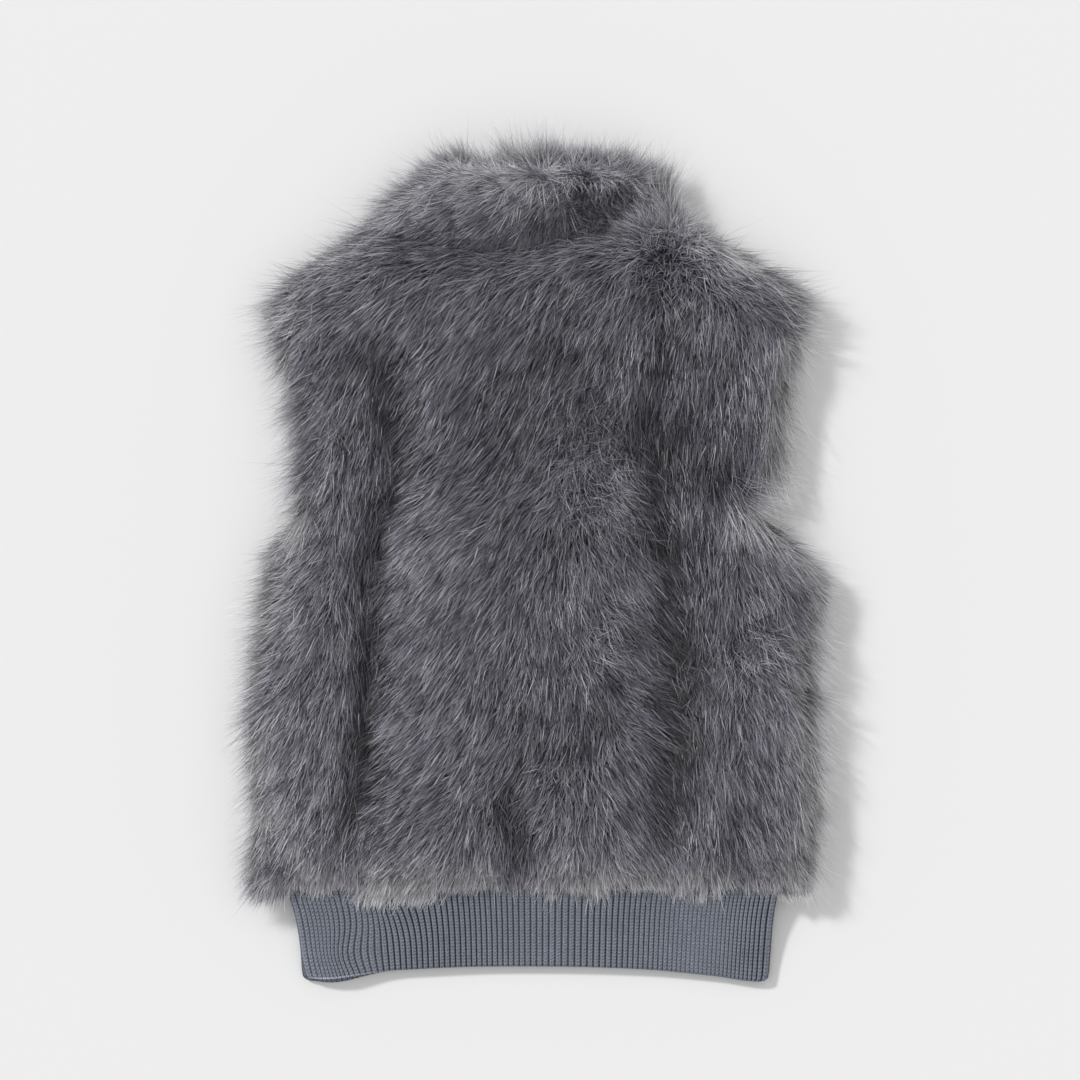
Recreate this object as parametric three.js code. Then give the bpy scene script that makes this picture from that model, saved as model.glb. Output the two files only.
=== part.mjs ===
// A faux-fur vest with a rib-knit waistband, laid flat on its two fronts with its back up.
// Millimetres. +Y points to the collar, +Z away from the surface, and the origin is under the
// middle of the whole. The wearer's right is at +X.
// Each fur piece is one wall that takes in its backing and its pile, so it reaches the fur's tips.
import * as THREE from 'three';

// Sizes that the whole garment is worked out from
const bandDepth = 66; // waist seam to hem, in the middle
const backingHeight = 16; // where the back's backing lies on the fronts' backing
const seamGap = 0.3; // between two pieces that are sewn together
const pileDepth = 27; // of the back's fur, from backing to tips
const rimDepth = 3.2; // of the fur's wall where it thins out at an edge
const edgeRound = 46; // how far in from an edge the pile reaches its full depth
const tuftDepth = 7; // how far one tuft stands out past the next along an edge
const pileOverBand = 10; // how far the back's fur hangs over the waistband
const neckHalf = 133; // half the width of the neck seam
const neckDip = 13; // how far the back neck dips below its ends
const frontNeckDrop = 14; // how much lower the front neck dips, at the centre
const collarPile = 36; // of the collar's roll, from its slit to its tips
const collarDepth = 78; // from the neck seam up to the top edge
const collarStep = 11; // how much lower the strip's lower part lies than its roll
const collarRound = 34; // how far in from an edge its pile reaches its full depth
const bandWall = 3.2; // doubled rib knit
const bandHemGap = 1.5; // between the two layers of the band at the hem
const ribCount = 90;
const ribHeight = 0.9;
const frontOpening = 0.3; // between the two fronts, which lie edge to edge
const rowStep = 12.6; // between rows of points up a fur panel
const rowsBend = 70; // stretch below the neck over which the rows bend to follow it
const tuftShare = 0.03; // of a row's width, the most that an edge goes in between tufts
const underRound = 20; // how far in from an edge the underside comes down to the surface
const bandTurn = 40; // the higher, the tighter the band turns at its sides
const hemThinning = 0.45; // where the knit folds over at the hem
const backingToFold = 11; // thickness of the collar's backing and inner pile where it turns the neck
const slitHalf = 1; // half the flat opening for the neck

// The fur's outline: heights above the waist seam, and widths to each side of the centre line
const outline = [
  { up: -pileOverBand, left: 232, right: 226 },
  { up: 12, left: 240, right: 231 },
  { up: 70, left: 239, right: 238 },
  { up: 133, left: 241, right: 236 },
  { up: 200, left: 241, right: 241 },
  { up: 245, left: 238, right: 236 },
  { up: 273, left: 226, right: 208 },
  { up: 300, left: 204, right: 192 },
  { up: 333, left: 202, right: 214 },
  { up: 389, left: 214, right: 231 },
  { up: 435, left: 232, right: 239 },
  { up: 462, left: 234, right: 239 },
  { up: 480, left: 220, right: 229 },
  { up: 500, left: 201, right: 203 },
  { up: 519, left: 166, right: 170 },
  { up: 526, left: neckHalf, right: neckHalf },
];

// Soft folds of the back, each along a line of places with its depth and width there
const folds = [
  [
    { x: -154, up: 12, depth: 0, width: 14 },
    { x: -147, up: 50, depth: 11, width: 15 },
    { x: -138, up: 115, depth: 16, width: 16 },
    { x: -134, up: 235, depth: 16, width: 16 },
    { x: -127, up: 285, depth: 14, width: 16 },
    { x: -119, up: 335, depth: 11, width: 16 },
    { x: -116, up: 385, depth: 7, width: 17 },
    { x: -118, up: 440, depth: 0, width: 17 },
  ],
  [
    { x: 101, up: 10, depth: 0, width: 14 },
    { x: 103, up: 60, depth: 12, width: 15 },
    { x: 112, up: 130, depth: 16, width: 16 },
    { x: 113, up: 165, depth: 17, width: 17 },
    { x: 107, up: 235, depth: 13, width: 16 },
    { x: 102, up: 290, depth: 12, width: 16 },
    { x: 95, up: 355, depth: 11, width: 17 },
    { x: 100, up: 400, depth: 9, width: 17 },
    { x: 104, up: 470, depth: 10, width: 16 },
    { x: 103, up: 505, depth: 3, width: 15 },
  ],
  [
    { x: 92, up: 365, depth: 6, width: 17 },
    { x: 128, up: 343, depth: 9, width: 17 },
    { x: 172, up: 320, depth: 8, width: 16 },
  ],
  [
    { x: -22, up: 96, depth: 0, width: 13 },
    { x: -17, up: 50, depth: 12, width: 14 },
    { x: -12, up: 0, depth: 10, width: 14 },
  ],
  [
    { x: 156, up: 82, depth: 0, width: 12 },
    { x: 161, up: 42, depth: 11, width: 13 },
    { x: 166, up: 5, depth: 8, width: 14 },
  ],
];

// Hollows of the collar's roll, as places across it and up it
const collarHollows = [
  { x: 48, up: 560, depth: 12, across: 28, along: 14 },
  { x: -20, up: 520, depth: 5, across: 80, along: 10 },
];

// The lower edge of the collar's roll, which climbs away from the neck seam on the right
const rollLowerEdge = [
  { x: -145, up: 544 },
  { x: -128, up: 535 },
  { x: -90, up: 508 },
  { x: -60, up: 500 },
  { x: -34, up: 507 },
  { x: 10, up: 517 },
  { x: 50, up: 530 },
  { x: 92, up: 546 },
  { x: 125, up: 552 },
];

// The tips along the collar's top
const collarTips = [
  { x: -142, up: 545 },
  { x: -120, up: 566 },
  { x: -102, up: 580 },
  { x: -78, up: 596 },
  { x: -50, up: 599 },
  { x: -14, up: 605 },
  { x: 20, up: 602 },
  { x: 50, up: 600 },
  { x: 70, up: 594 },
  { x: 98, up: 584 },
  { x: 118, up: 575 },
  { x: 142, up: 548 },
];

// The collar's width to each side, at shares of its height
const collarSides = [
  { share: 0, left: neckHalf, right: neckHalf },
  { share: 0.3, left: 143, right: 138 },
  { share: 0.6, left: 136, right: 134 },
  { share: 0.85, left: 122, right: 126 },
  { share: 1, left: 106, right: 112 },
];

// The waistband's width to each side, at shares of its depth
const bandSides = [
  { share: 0, left: 197, right: 190 },
  { share: 0.35, left: 193.5, right: 188 },
  { share: 0.6, left: 191, right: 187.5 },
  { share: 1, left: 189.5, right: 186 },
];

// How much further down than in its middle the hem hangs
const hemDrop = [
  { x: -190, drop: 9.6 },
  { x: -166, drop: 9.6 },
  { x: -142, drop: 6.4 },
  { x: -118, drop: 3.4 },
  { x: -94, drop: 2 },
  { x: -70, drop: 0.8 },
  { x: 0, drop: 0 },
  { x: 50, drop: 0.8 },
  { x: 98, drop: 3.2 },
  { x: 122, drop: 5.6 },
  { x: 146, drop: 8.2 },
  { x: 170, drop: 11.8 },
  { x: 190, drop: 12.5 },
];

// Where the furrows of the upper layer lie, counted from the left, as shares of its half width.
// The knit is stretched in the middle and drawn in at both ends.
const ribPlaces = [
  { rib: 0, share: -1 },
  { rib: 2, share: -0.964 },
  { rib: 8, share: -0.855 },
  { rib: 14, share: -0.708 },
  { rib: 28, share: -0.376 },
  { rib: 46, share: 0.049 },
  { rib: 51, share: 0.19 },
  { rib: 56, share: 0.323 },
  { rib: 65, share: 0.528 },
  { rib: 75, share: 0.725 },
  { rib: 88, share: 0.96 },
  { rib: ribCount, share: 1 },
];

// Sideways bends of the ribs where the band is pulled askew: a place across and its spread, a
// share of the depth and its spread, and how far the ribs go to the right there
const ribBends = [
  { x: -146, across: 20, share: 0.76, along: 0.24, move: -6 },
  { x: -110, across: 20, share: 0, along: 0.4, move: -8 },
  { x: -170, across: 26, share: 1, along: 0.2, move: 4 },
];

const neckUp = outline.at(-1).up;
const fauxFur = { color: '#5c5b62', roughness: 0.95, metalness: 0 };
const ribKnit = { color: '#6b737c', roughness: 0.9, metalness: 0 };

// A table's column at any place along it, as a smooth curve through the rows
function column(table, key, name, at) {
  const last = table.length - 1;
  let row = table.findIndex((entry) => entry[key] > at) - 1;
  if (row < 0) row = at < table[0][key] ? 0 : last - 1;
  const slope = (i) => {
    const before = table[Math.max(i - 1, 0)];
    const after = table[Math.min(i + 1, last)];
    return (after[name] - before[name]) / (after[key] - before[key]);
  };
  const [start, end] = [table[row], table[row + 1]];
  const span = end[key] - start[key];
  const t = THREE.MathUtils.clamp((at - start[key]) / span, 0, 1);
  const ease = t * t * (3 - 2 * t);
  const leave = t * (1 - t) * (1 - t) * span * slope(row);
  const arrive = t * t * (1 - t) * span * slope(row + 1);
  return THREE.MathUtils.lerp(start[name], end[name], ease) + leave - arrive;
}

// 0 at an edge, rising round to 1 at full depth
function rounded(distance, radius) {
  const t = THREE.MathUtils.clamp(distance / radius, 0, 1);
  return Math.sqrt(1 - (1 - t) ** 2);
}

function bell(distance, width) {
  return Math.exp(-((distance / width) ** 2));
}

// The same uneven number from 0 to 1 for the same count
function uneven(count) {
  const wave = Math.sin(count * 12.9898 + 4.1414) * 437.5453;
  return wave - Math.floor(wave);
}

// How far the edge goes in between two tufts
function tuftAt(count) {
  return tuftDepth * (0.3 + 0.7 * uneven(count));
}

// Shares from -1 to 1, closer together towards both ends
function sharesAcross(steps) {
  return Array.from({ length: steps + 1 }, (_, i) => {
    const t = (2 * i) / steps - 1;
    return 0.6 * t + 0.4 * Math.sin((Math.PI / 2) * t);
  });
}

// The neck seam dips in the middle, lower at the fronts than at the back
function neckSeam(x, layer) {
  const dip = 1 - Math.min(Math.abs(x) / neckHalf, 1) ** 2;
  const drop = layer === 'front' ? frontNeckDrop : 0;
  return neckUp - (neckDip + drop) * dip;
}

// Low waves in the fur's surface where its locks lie over each other
function locks(x, up) {
  const broad = Math.sin(x / 19 + Math.sin(up / 41)) * Math.cos(up / 27 + x / 90);
  return 2 * broad + 1.2 * Math.sin(x / 8.3 - up / 15);
}

// How deep one fold is at a place, from the nearest place along its line
function depthOfFold(fold, x, up) {
  let [nearest, depth] = [Infinity, 0];
  for (let i = 1; i < fold.length; i++) {
    const [from, to] = [fold[i - 1], fold[i]];
    const [dx, dy] = [to.x - from.x, to.up - from.up];
    const t = THREE.MathUtils.clamp(((x - from.x) * dx + (up - from.up) * dy) / (dx * dx + dy * dy), 0, 1);
    const away = Math.hypot(x - from.x - t * dx, up - from.up - t * dy);
    if (away >= nearest) continue;
    nearest = away;
    const width = THREE.MathUtils.lerp(from.width, to.width, t);
    depth = THREE.MathUtils.lerp(from.depth, to.depth, t) * bell(away, width);
  }
  return depth;
}

function foldDepth(x, up) {
  return folds.reduce((sum, fold) => sum + depthOfFold(fold, x, up), 0);
}

// The band's middle surface comes down from between the fur's layers to the resting surface
function bandMiddle(share) {
  const atHem = bandWall + bandHemGap / 2;
  return atHem + (backingHeight - atHem) * (1 - share) ** 1.6;
}

function bandHalfGap(share) {
  return THREE.MathUtils.lerp(seamGap, bandHemGap, share) / 2;
}

function bandOuter(share) {
  return bandHalfGap(share) + bandWall + ribHeight;
}

// The height of the fur that hangs past the waist seam, over the band or under it
function overhang(up, side) {
  const share = -up / bandDepth;
  const clear = bandOuter(share) + 2.4 * seamGap;
  return bandMiddle(share) + side * clear;
}

function meshOf(name, points, triangles, cloth) {
  const geometry = new THREE.BufferGeometry();
  const numbers = points.flatMap((point) => point.toArray());
  geometry.setAttribute('position', new THREE.Float32BufferAttribute(numbers, 3));
  geometry.setIndex(triangles.flat());
  geometry.computeVertexNormals();
  const mesh = new THREE.Mesh(geometry, new THREE.MeshStandardMaterial(cloth));
  mesh.name = name;
  return mesh;
}

// A closed wall from two grids of points of the same size, the upper one seen from +Z with its
// rows going up and its columns going right
function wallOf(name, upper, under) {
  const rows = upper.length;
  const columns = upper[0].length;
  const points = [...upper.flat(), ...under.flat()];
  const below = rows * columns;
  const triangles = [];
  for (let row = 0; row < rows - 1; row++) {
    for (let col = 0; col < columns - 1; col++) {
      const a = row * columns + col;
      const [b, c, d] = [a + 1, a + columns + 1, a + columns];
      triangles.push([a, b, c], [a, c, d]);
      triangles.push([below + a, below + c, below + b], [below + a, below + d, below + c]);
    }
  }
  const rim = [];
  for (let col = 0; col < columns - 1; col++) rim.push(col);
  for (let row = 0; row < rows - 1; row++) rim.push(row * columns + columns - 1);
  for (let col = columns - 1; col > 0; col--) rim.push((rows - 1) * columns + col);
  for (let row = rows - 1; row > 0; row--) rim.push(row * columns);
  rim.forEach((a, i) => {
    const b = rim[(i + 1) % rim.length];
    triangles.push([a, below + a, below + b], [a, below + b, b]);
  });
  return meshOf(name, points, triangles, fauxFur);
}

// Places round a flattened tube that is open underneath at the centre front. They start at the
// opening's right edge, at turn 0, pass the right side at 1 and the left side at 3, and end at 4.
// The upper layer's turns lie just inside 1 and 3, which keeps the two layers in order there.
function placesRound(upperShares, underShares) {
  const right = underShares.filter((s) => s >= 0);
  const left = right.map((s) => -s).reverse();
  return [
    ...right.map((s) => ({ s, turn: s, layer: 'front', sign: 1 })),
    ...upperShares.slice().reverse().map((s) => ({ s, turn: 2 - 0.99 * s, layer: 'back', sign: 1 })),
    ...left.map((s) => ({ s, turn: 4 + s, layer: 'front', sign: -1 })),
  ];
}

// The flattened tube itself, with rows from its lower end to its upper end. Each row has its
// points round the outside and round the inside, and strips between them close the wall.
function openTube(name, rows, outer, inner, pointAt, cloth) {
  const points = rows.flatMap((row) => [
    ...outer.map((place) => pointAt(place, 'outer', row)),
    ...inner.map((place) => pointAt(place, 'inner', row)),
  ]);
  const count = outer.length + inner.length;
  const triangles = [];
  const quad = (a, b, c, d) => triangles.push([a, b, c], [a, c, d]);
  for (let row = 0; row < rows.length - 1; row++) {
    const out = row * count;
    const inside = out + outer.length;
    for (let i = 0; i < outer.length - 1; i++) {
      quad(out + i, out + i + count, out + i + 1 + count, out + i + 1);
    }
    for (let i = 0; i < inner.length - 1; i++) {
      quad(inside + i, inside + i + 1, inside + i + 1 + count, inside + i + count);
    }
    const [lastOut, lastIn] = [inside - 1, out + count - 1];
    quad(out, inside, inside + count, out + count);
    quad(lastOut, lastOut + count, lastIn + count, lastIn);
  }
  const closeEnd = (first, turned) => {
    let [i, j] = [0, 0];
    while (i < outer.length - 1 || j < inner.length - 1) {
      const a = first + i;
      const b = first + outer.length + j;
      const innerDone = j === inner.length - 1;
      const outward = innerDone || (i < outer.length - 1 && outer[i + 1].turn <= inner[j + 1].turn);
      const triangle = outward ? [a, a + 1, b] : [a, b + 1, b];
      triangles.push(turned ? triangle.reverse() : triangle);
      if (outward) i++;
      else j++;
    }
  };
  closeEnd(0, false);
  closeEnd((rows.length - 1) * count, true);
  return meshOf(name, points, triangles, cloth);
}

// Where a fur panel's row lies at a share across, with a tuft at either edge
function panelPoint(up, s, row, layer) {
  const side = s < 0 ? 'left' : 'right';
  const width = column(outline, 'up', side, up);
  const inward = Math.abs(s) === 1 && row % 2 ? tuftAt(row + (s < 0 ? 0 : 50)) : 0;
  const x = s * (width - Math.min(inward, tuftShare * width));
  const toNeck = THREE.MathUtils.smoothstep(up, neckUp - rowsBend, neckUp);
  const y = up + toNeck * (neckSeam(x, layer) - neckUp);
  const edge = Math.min((1 - Math.abs(s)) * width, up + pileOverBand, neckUp - up + 4);
  return { x, y, edge };
}

// Heights of a fur panel's rows from the waist seam to the neck
function rowsAboveSeam() {
  const ups = [seamGap];
  while (ups.at(-1) < neckUp - 1.5 * rowStep) ups.push(ups.length * rowStep);
  return [...ups, neckUp];
}

// The back lies on top: its underside is its backing, and its lowest rows hang over the band
function back() {
  const shares = sharesAcross(30);
  const ups = [-pileOverBand, 0, ...rowsAboveSeam()];
  const underside = (y) => (y <= 0 ? overhang(y, 1) : backingHeight + seamGap / 2);
  const upper = ups.map((up, row) => shares.map((s, col) => {
    const { x, y, edge } = panelPoint(up, s, row, 'back');
    const depth = pileDepth * rounded(edge, edgeRound);
    const relief = (locks(x, y) - foldDepth(x, y)) * rounded(edge, edgeRound / 2);
    const shorter = row === 0 && col % 2 ? tuftAt(col) : 0;
    const top = backingHeight + rimDepth + depth + relief;
    return new THREE.Vector3(x, y + shorter, Math.max(underside(y + shorter) + rimDepth, top));
  }));
  const under = ups.map((up, row) => shares.map((s, col) => {
    const { x, y } = upper[row][col];
    return new THREE.Vector3(x, y, underside(y));
  }));
  return wallOf('back', upper, under);
}

// A front lies under half of the back: its backing is its top, and its pile rests flat
function front(name, sign) {
  const shares = [0, 0.1, 0.21, 0.33, 0.45, 0.57, 0.69, 0.8, 0.89, 0.96, 1];
  const ups = [-pileOverBand / 2, 0, ...rowsAboveSeam()];
  const across = sign > 0 ? shares : shares.map((s) => -s).reverse();
  const upper = ups.map((up, row) => across.map((s) => {
    const { x, y } = panelPoint(up, s, row, 'front');
    const clear = sign * Math.max(Math.abs(x), frontOpening / 2);
    return new THREE.Vector3(clear, y, up <= 0 ? overhang(up, -1) : backingHeight - seamGap / 2);
  }));
  const under = ups.map((up, row) => across.map((s, col) => {
    const { x, y, z } = upper[row][col];
    const { edge } = panelPoint(up, s, row, 'front');
    const toOpening = Math.abs(x) + underRound / 2;
    const lift = (z - rimDepth) * (1 - rounded(Math.min(edge, toOpening), underRound));
    return new THREE.Vector3(x, y, lift);
  }));
  return wallOf(name, upper, under);
}

// The collar's top edge, which lies a little lower at the fronts than at the back
function collarTop(x, layer) {
  const drop = layer === 'front' ? frontNeckDrop / 2 : 0;
  const tips = column(collarTips, 'x', 'up', x);
  return tips - drop * (1 - Math.min(Math.abs(x) / neckHalf, 1) ** 2);
}

// 0 on the collar's roll and 1 on the part of the strip below it
function belowRoll(x, up) {
  const edge = column(rollLowerEdge, 'x', 'up', x);
  return THREE.MathUtils.smoothstep(edge - up, -8, 8);
}

// The collar is one fur band round the neck, flattened, with a slit for the neck between its layers
function collar() {
  const shares = [0, 0.1, 0.24, 0.4, 0.56, 0.7, 0.82, 0.92, 1];
  const across = sharesAcross(28);
  const pointAt = ({ s, layer, sign }, face, row) => {
    const share = shares[row];
    const outside = face === 'outer';
    const width = column(collarSides, 'share', s < 0 ? 'left' : 'right', share);
    const inward = Math.abs(s) === 1 && row % 2 ? Math.min(tuftAt(row), tuftShare * width) : 0;
    const x = s * (outside ? width - inward : width - backingToFold) || (sign * frontOpening) / 2;
    const between = across.indexOf(s);
    const tip = outside && share === 1 && between % 2 ? tuftAt(between) : 0;
    const seamOf = Math.abs(s) === 1 ? 'back' : layer;
    const y = THREE.MathUtils.lerp(neckSeam(x, seamOf) + seamGap, collarTop(x, layer), share) - tip;
    if (!outside) return new THREE.Vector3(x, y, backingHeight + (layer === 'back' ? slitHalf : -slitHalf));
    const edge = Math.min((1 - Math.abs(s)) * width, (1 - share) * collarDepth, share * collarDepth + 3);
    if (layer === 'front') {
      const under = backingHeight - slitHalf - rimDepth;
      return new THREE.Vector3(x, y, under * (1 - rounded(edge, underRound)));
    }
    const hollow = collarHollows.reduce((sum, h) => (
      sum + h.depth * bell(x - h.x, h.across) * bell(y - h.up, h.along)), 0);
    const step = collarStep * belowRoll(x, y);
    const pile = (collarPile + locks(x, y) - hollow - step) * rounded(edge, collarRound);
    return new THREE.Vector3(x, y, backingHeight + slitHalf + rimDepth + pile);
  };
  const outer = placesRound(across, across);
  const inner = placesRound(sharesAcross(12), sharesAcross(12));
  return openTube('collar', [...shares.keys()], outer, inner, pointAt, fauxFur);
}

// Shares across the ribs: three points to a rib, its valley and the two sides of its crest
function ribShares() {
  const shares = [];
  for (let rib = 0; rib < ribCount; rib++) {
    [0, 0.3, 0.7].forEach((place) => shares.push((2 * (rib + place)) / ribCount - 1));
  }
  return [...shares, 1];
}

// Where the upper layer's knit lies across, at a share of its half width and of its depth
function ribPlace(s, share, width) {
  const x = column(ribPlaces, 'rib', 'share', ((s + 1) * ribCount) / 2) * width;
  return ribBends.reduce((place, bend) => (
    place + bend.move * bell(x - bend.x, bend.across) * bell(share - bend.share, bend.along)), x);
}

// The waistband is one strip of rib knit doubled at the hem, round the waist and open in front
function waistband() {
  const pointAt = ({ s, layer, sign, crest }, face, share) => {
    const thinned = share === 1 ? hemThinning : 1;
    const wall = face === 'outer' ? bandWall * thinned : 0;
    const width = column(bandSides, 'share', s < 0 ? 'left' : 'right', share) - bandWall;
    const turnedOut = Math.sign(s) * Math.abs(s) ** bandTurn * wall;
    const spaced = layer === 'back' ? ribPlace(s, share, width) : s * width;
    const x = spaced + turnedOut || (sign * frontOpening) / 2;
    const depth = bandDepth + column(hemDrop, 'x', 'drop', x);
    const turn = Math.sqrt(1 - 0.95 * Math.abs(s) ** bandTurn);
    const raised = face === 'outer' && crest ? ribHeight * thinned : 0;
    const away = (bandHalfGap(share) + wall) * turn + raised;
    const z = bandMiddle(share) + (layer === 'back' ? away : -away);
    return new THREE.Vector3(x, THREE.MathUtils.lerp(-seamGap, -depth, share), z);
  };
  const plain = sharesAcross(16);
  const outer = placesRound(ribShares(), plain);
  outer.filter((place) => place.layer === 'back').forEach((place, i) => {
    place.crest = i % 3 > 0;
  });
  const shares = [1, 0.92, 0.72, 0.45, 0.2, 0];
  return openTube('waistband', shares, outer, placesRound(plain, plain), pointAt, ribKnit);
}

const vest = new THREE.Group();
vest.add(back(), front('front_left', -1), front('front_right', 1), collar(), waistband());

// The origin goes under the middle of the whole
const box = new THREE.Box3().setFromObject(vest);
const centre = box.getCenter(new THREE.Vector3());
vest.position.set(-centre.x, -centre.y, -box.min.z);

export default vest;
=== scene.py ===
# %% [markdown]
# This file dresses a sleeveless faux-fur vest that lies flat on its two fronts, back up. The
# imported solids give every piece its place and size. Here the fur panels get a skin and then
# real strands, combed the way the pile lies, and the waistband gets its ribs and stitches.

# %% The frame
import math

import bpy
import numpy as np
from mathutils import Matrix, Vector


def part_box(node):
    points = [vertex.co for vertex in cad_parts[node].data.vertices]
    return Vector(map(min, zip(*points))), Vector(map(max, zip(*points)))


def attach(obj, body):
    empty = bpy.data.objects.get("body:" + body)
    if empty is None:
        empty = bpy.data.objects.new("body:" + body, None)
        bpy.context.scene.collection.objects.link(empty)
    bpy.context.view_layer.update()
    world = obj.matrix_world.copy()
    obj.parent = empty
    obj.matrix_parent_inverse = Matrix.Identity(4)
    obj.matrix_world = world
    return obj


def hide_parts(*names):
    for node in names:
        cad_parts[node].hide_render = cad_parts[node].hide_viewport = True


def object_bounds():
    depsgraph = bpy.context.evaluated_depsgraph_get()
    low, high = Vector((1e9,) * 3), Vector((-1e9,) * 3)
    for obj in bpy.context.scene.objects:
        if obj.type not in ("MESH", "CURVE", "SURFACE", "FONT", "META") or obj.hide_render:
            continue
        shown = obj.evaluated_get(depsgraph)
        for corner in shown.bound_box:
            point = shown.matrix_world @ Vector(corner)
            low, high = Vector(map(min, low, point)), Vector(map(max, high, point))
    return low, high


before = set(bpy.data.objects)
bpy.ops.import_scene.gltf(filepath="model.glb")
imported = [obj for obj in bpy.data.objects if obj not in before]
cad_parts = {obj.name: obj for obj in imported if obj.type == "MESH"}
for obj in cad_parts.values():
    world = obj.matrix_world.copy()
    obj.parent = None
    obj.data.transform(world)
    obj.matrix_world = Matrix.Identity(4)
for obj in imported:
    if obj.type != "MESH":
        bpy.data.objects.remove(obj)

cad_box = [list(corner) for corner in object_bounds()]
print("solids' box in metres:", cad_box)

# %% [markdown]
# Lengths below are in millimetres, as a maker writes them, and only a finished mesh is turned to
# metres. Heights up the garment count from the waist seam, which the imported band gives.

# %% Main sizes
MM = 0.001
SEAM_GAP = 0.3
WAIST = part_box("waistband")[1][1] / MM + SEAM_GAP  # the waist seam's place along the garment
BACKING = 16.0  # height at which the back's backing lies on the fronts' backing
NECK_HALF = 133.0  # half the width of the neck seam
NECK_UP = 526.0  # the neck seam's ends, above the waist seam
NECK_DIP = 13.0  # how far the back neck dips below its ends
FRONT_NECK_DROP = 14.0  # how much lower the front neck dips
TOP_HALF = 112.0  # half the width of a fur panel's last row, at the neck
print("waist seam lies at", round(WAIST, 1), "mm")

# Heights above the waist seam, and the fur's width to each side of the centre line
OUTLINE = (
    (-10, 232, 226),
    (12, 240, 231),
    (70, 239, 238),
    (133, 241, 236),
    (200, 241, 241),
    (245, 238, 236),
    (273, 226, 208),
    (300, 204, 192),
    (333, 202, 214),
    (389, 214, 231),
    (435, 232, 239),
    (462, 234, 239),
    (480, 220, 229),
    (500, 201, 203),
    (519, 166, 170),
    (526, 133, 133),
)

# How far the pile reaches past the backing's edge on each side, at heights above the waist seam
PILE_PAST = (
    (0, 20, 20),
    (150, 20, 23),
    (190, 25, 28),
    (220, 31, 26),
    (240, 30, 14),
    (270, 22, 6),
    (290, 18, 14),
    (310, 18, 32),
    (350, 22, 34),
    (400, 31, 38),
    (440, 34, 37),
    (480, 30, 33),
    (500, 32, 36),
    (512, 38, 40),
    (526, 20, 20),
)

# Soft folds, each along a line of points: across, up, depth and width
FOLDS = (
    ((-151, 12, 0, 13), (-147, 40, 6, 14), (-138, 80, 13, 14), (-130, 130, 16, 14),
     (-128, 220, 16, 14), (-124, 260, 15, 14), (-113, 310, 12, 14), (-108, 350, 10, 14),
     (-112, 400, 9, 16), (-120, 440, 3, 16)),
    ((101, 10, 0, 13), (103, 60, 12, 14), (112, 130, 16, 15), (113, 165, 17, 17),
     (107, 235, 13, 15), (102, 290, 12, 15), (95, 355, 11, 17), (100, 400, 9, 16),
     (104, 470, 10, 15), (103, 505, 3, 14)),
    ((92, 365, 6, 16), (128, 343, 9, 16), (172, 320, 8, 15)),
    ((-137, 538, 3, 8), (-100, 520, 5, 8), (-38, 508, 6, 8), (3, 513, 7, 8), (47, 530, 7, 8),
     (84, 550, 5, 8), (98, 556, 0, 8)),
    ((-22, 96, 0, 11), (-17, 50, 13, 12), (-12, 0, 10, 12)),
    ((156, 82, 0, 10), (161, 42, 12, 11), (166, 5, 8, 12)),
)

# %% [markdown]
# Everything soft here is a height over the surface that the vest lies on. A chart of those
# heights, one number every two millimetres, is worked out once and then read in between for the
# skin and for each strand, so that a strand follows the skin under it.

# %% Curves, charts and distances


def along(table, column, at):
    """A smooth curve through one column of a table, read at any place along its first column."""
    place = np.array([row[0] for row in table], float)
    value = np.array([row[column] for row in table], float)
    slope = np.gradient(value, place)
    i = np.clip(np.searchsorted(place, at, side="right") - 1, 0, len(place) - 2)
    span = place[i + 1] - place[i]
    t = np.clip((at - place[i]) / span, 0, 1)
    ease = t * t * (3 - 2 * t)
    bend = t * (1 - t) * span * ((1 - t) * slope[i] - t * slope[i + 1])
    return value[i] + (value[i + 1] - value[i]) * ease + bend


def rounded(distance, radius):
    """0 at an edge, rising round to 1 at full depth."""
    t = np.clip(distance / radius, 0, 1)
    return np.sqrt(1 - (1 - t) ** 2)


def bell(distance, width):
    """1 in the middle, falling away softly."""
    return np.exp(-((distance / width) ** 2))


class Chart:
    """Numbers on a square grid over the surface, read between its points."""

    step = 2.0

    def __init__(self, low, high, work_out):
        self.low = np.array(low, float)
        xs = np.arange(low[0], high[0] + self.step, self.step)
        ys = np.arange(low[1], high[1] + self.step, self.step)
        self.x, self.y = np.meshgrid(xs, ys)
        self.value = work_out(self.x, self.y)

    def at(self, x, y):
        rows, columns = self.value.shape
        u = np.clip((x - self.low[0]) / self.step, 0, columns - 1.001)
        v = np.clip((y - self.low[1]) / self.step, 0, rows - 1.001)
        i, j = u.astype(int), v.astype(int)
        u, v = u - i, v - j
        near = self.value[j, i] * (1 - u) + self.value[j, i + 1] * u
        far = self.value[j + 1, i] * (1 - u) + self.value[j + 1, i + 1] * u
        return near * (1 - v) + far * v


def inside_by(polygon, x, y):
    """How far each point lies inside a closed outline. Points outside are negative."""
    best = np.full(x.shape, 1e9)
    odd = np.zeros(x.shape, bool)
    for (ax, ay), (bx, by) in zip(polygon, np.roll(polygon, -1, axis=0)):
        dx, dy = bx - ax, by - ay
        t = np.clip(((x - ax) * dx + (y - ay) * dy) / (dx * dx + dy * dy + 1e-9), 0, 1)
        best = np.minimum(best, np.hypot(x - ax - t * dx, y - ay - t * dy))
        crosses = (ay > y) != (by > y)
        odd ^= crosses & (x < dx * (y - ay) / (dy + 1e-12) + ax)
    return np.where(odd, best, -best)


def neck_up(x, front=False):
    dip = 1 - np.minimum(np.abs(x) / NECK_HALF, 1) ** 2
    return NECK_UP - (NECK_DIP + (FRONT_NECK_DROP if front else 0)) * dip


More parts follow.
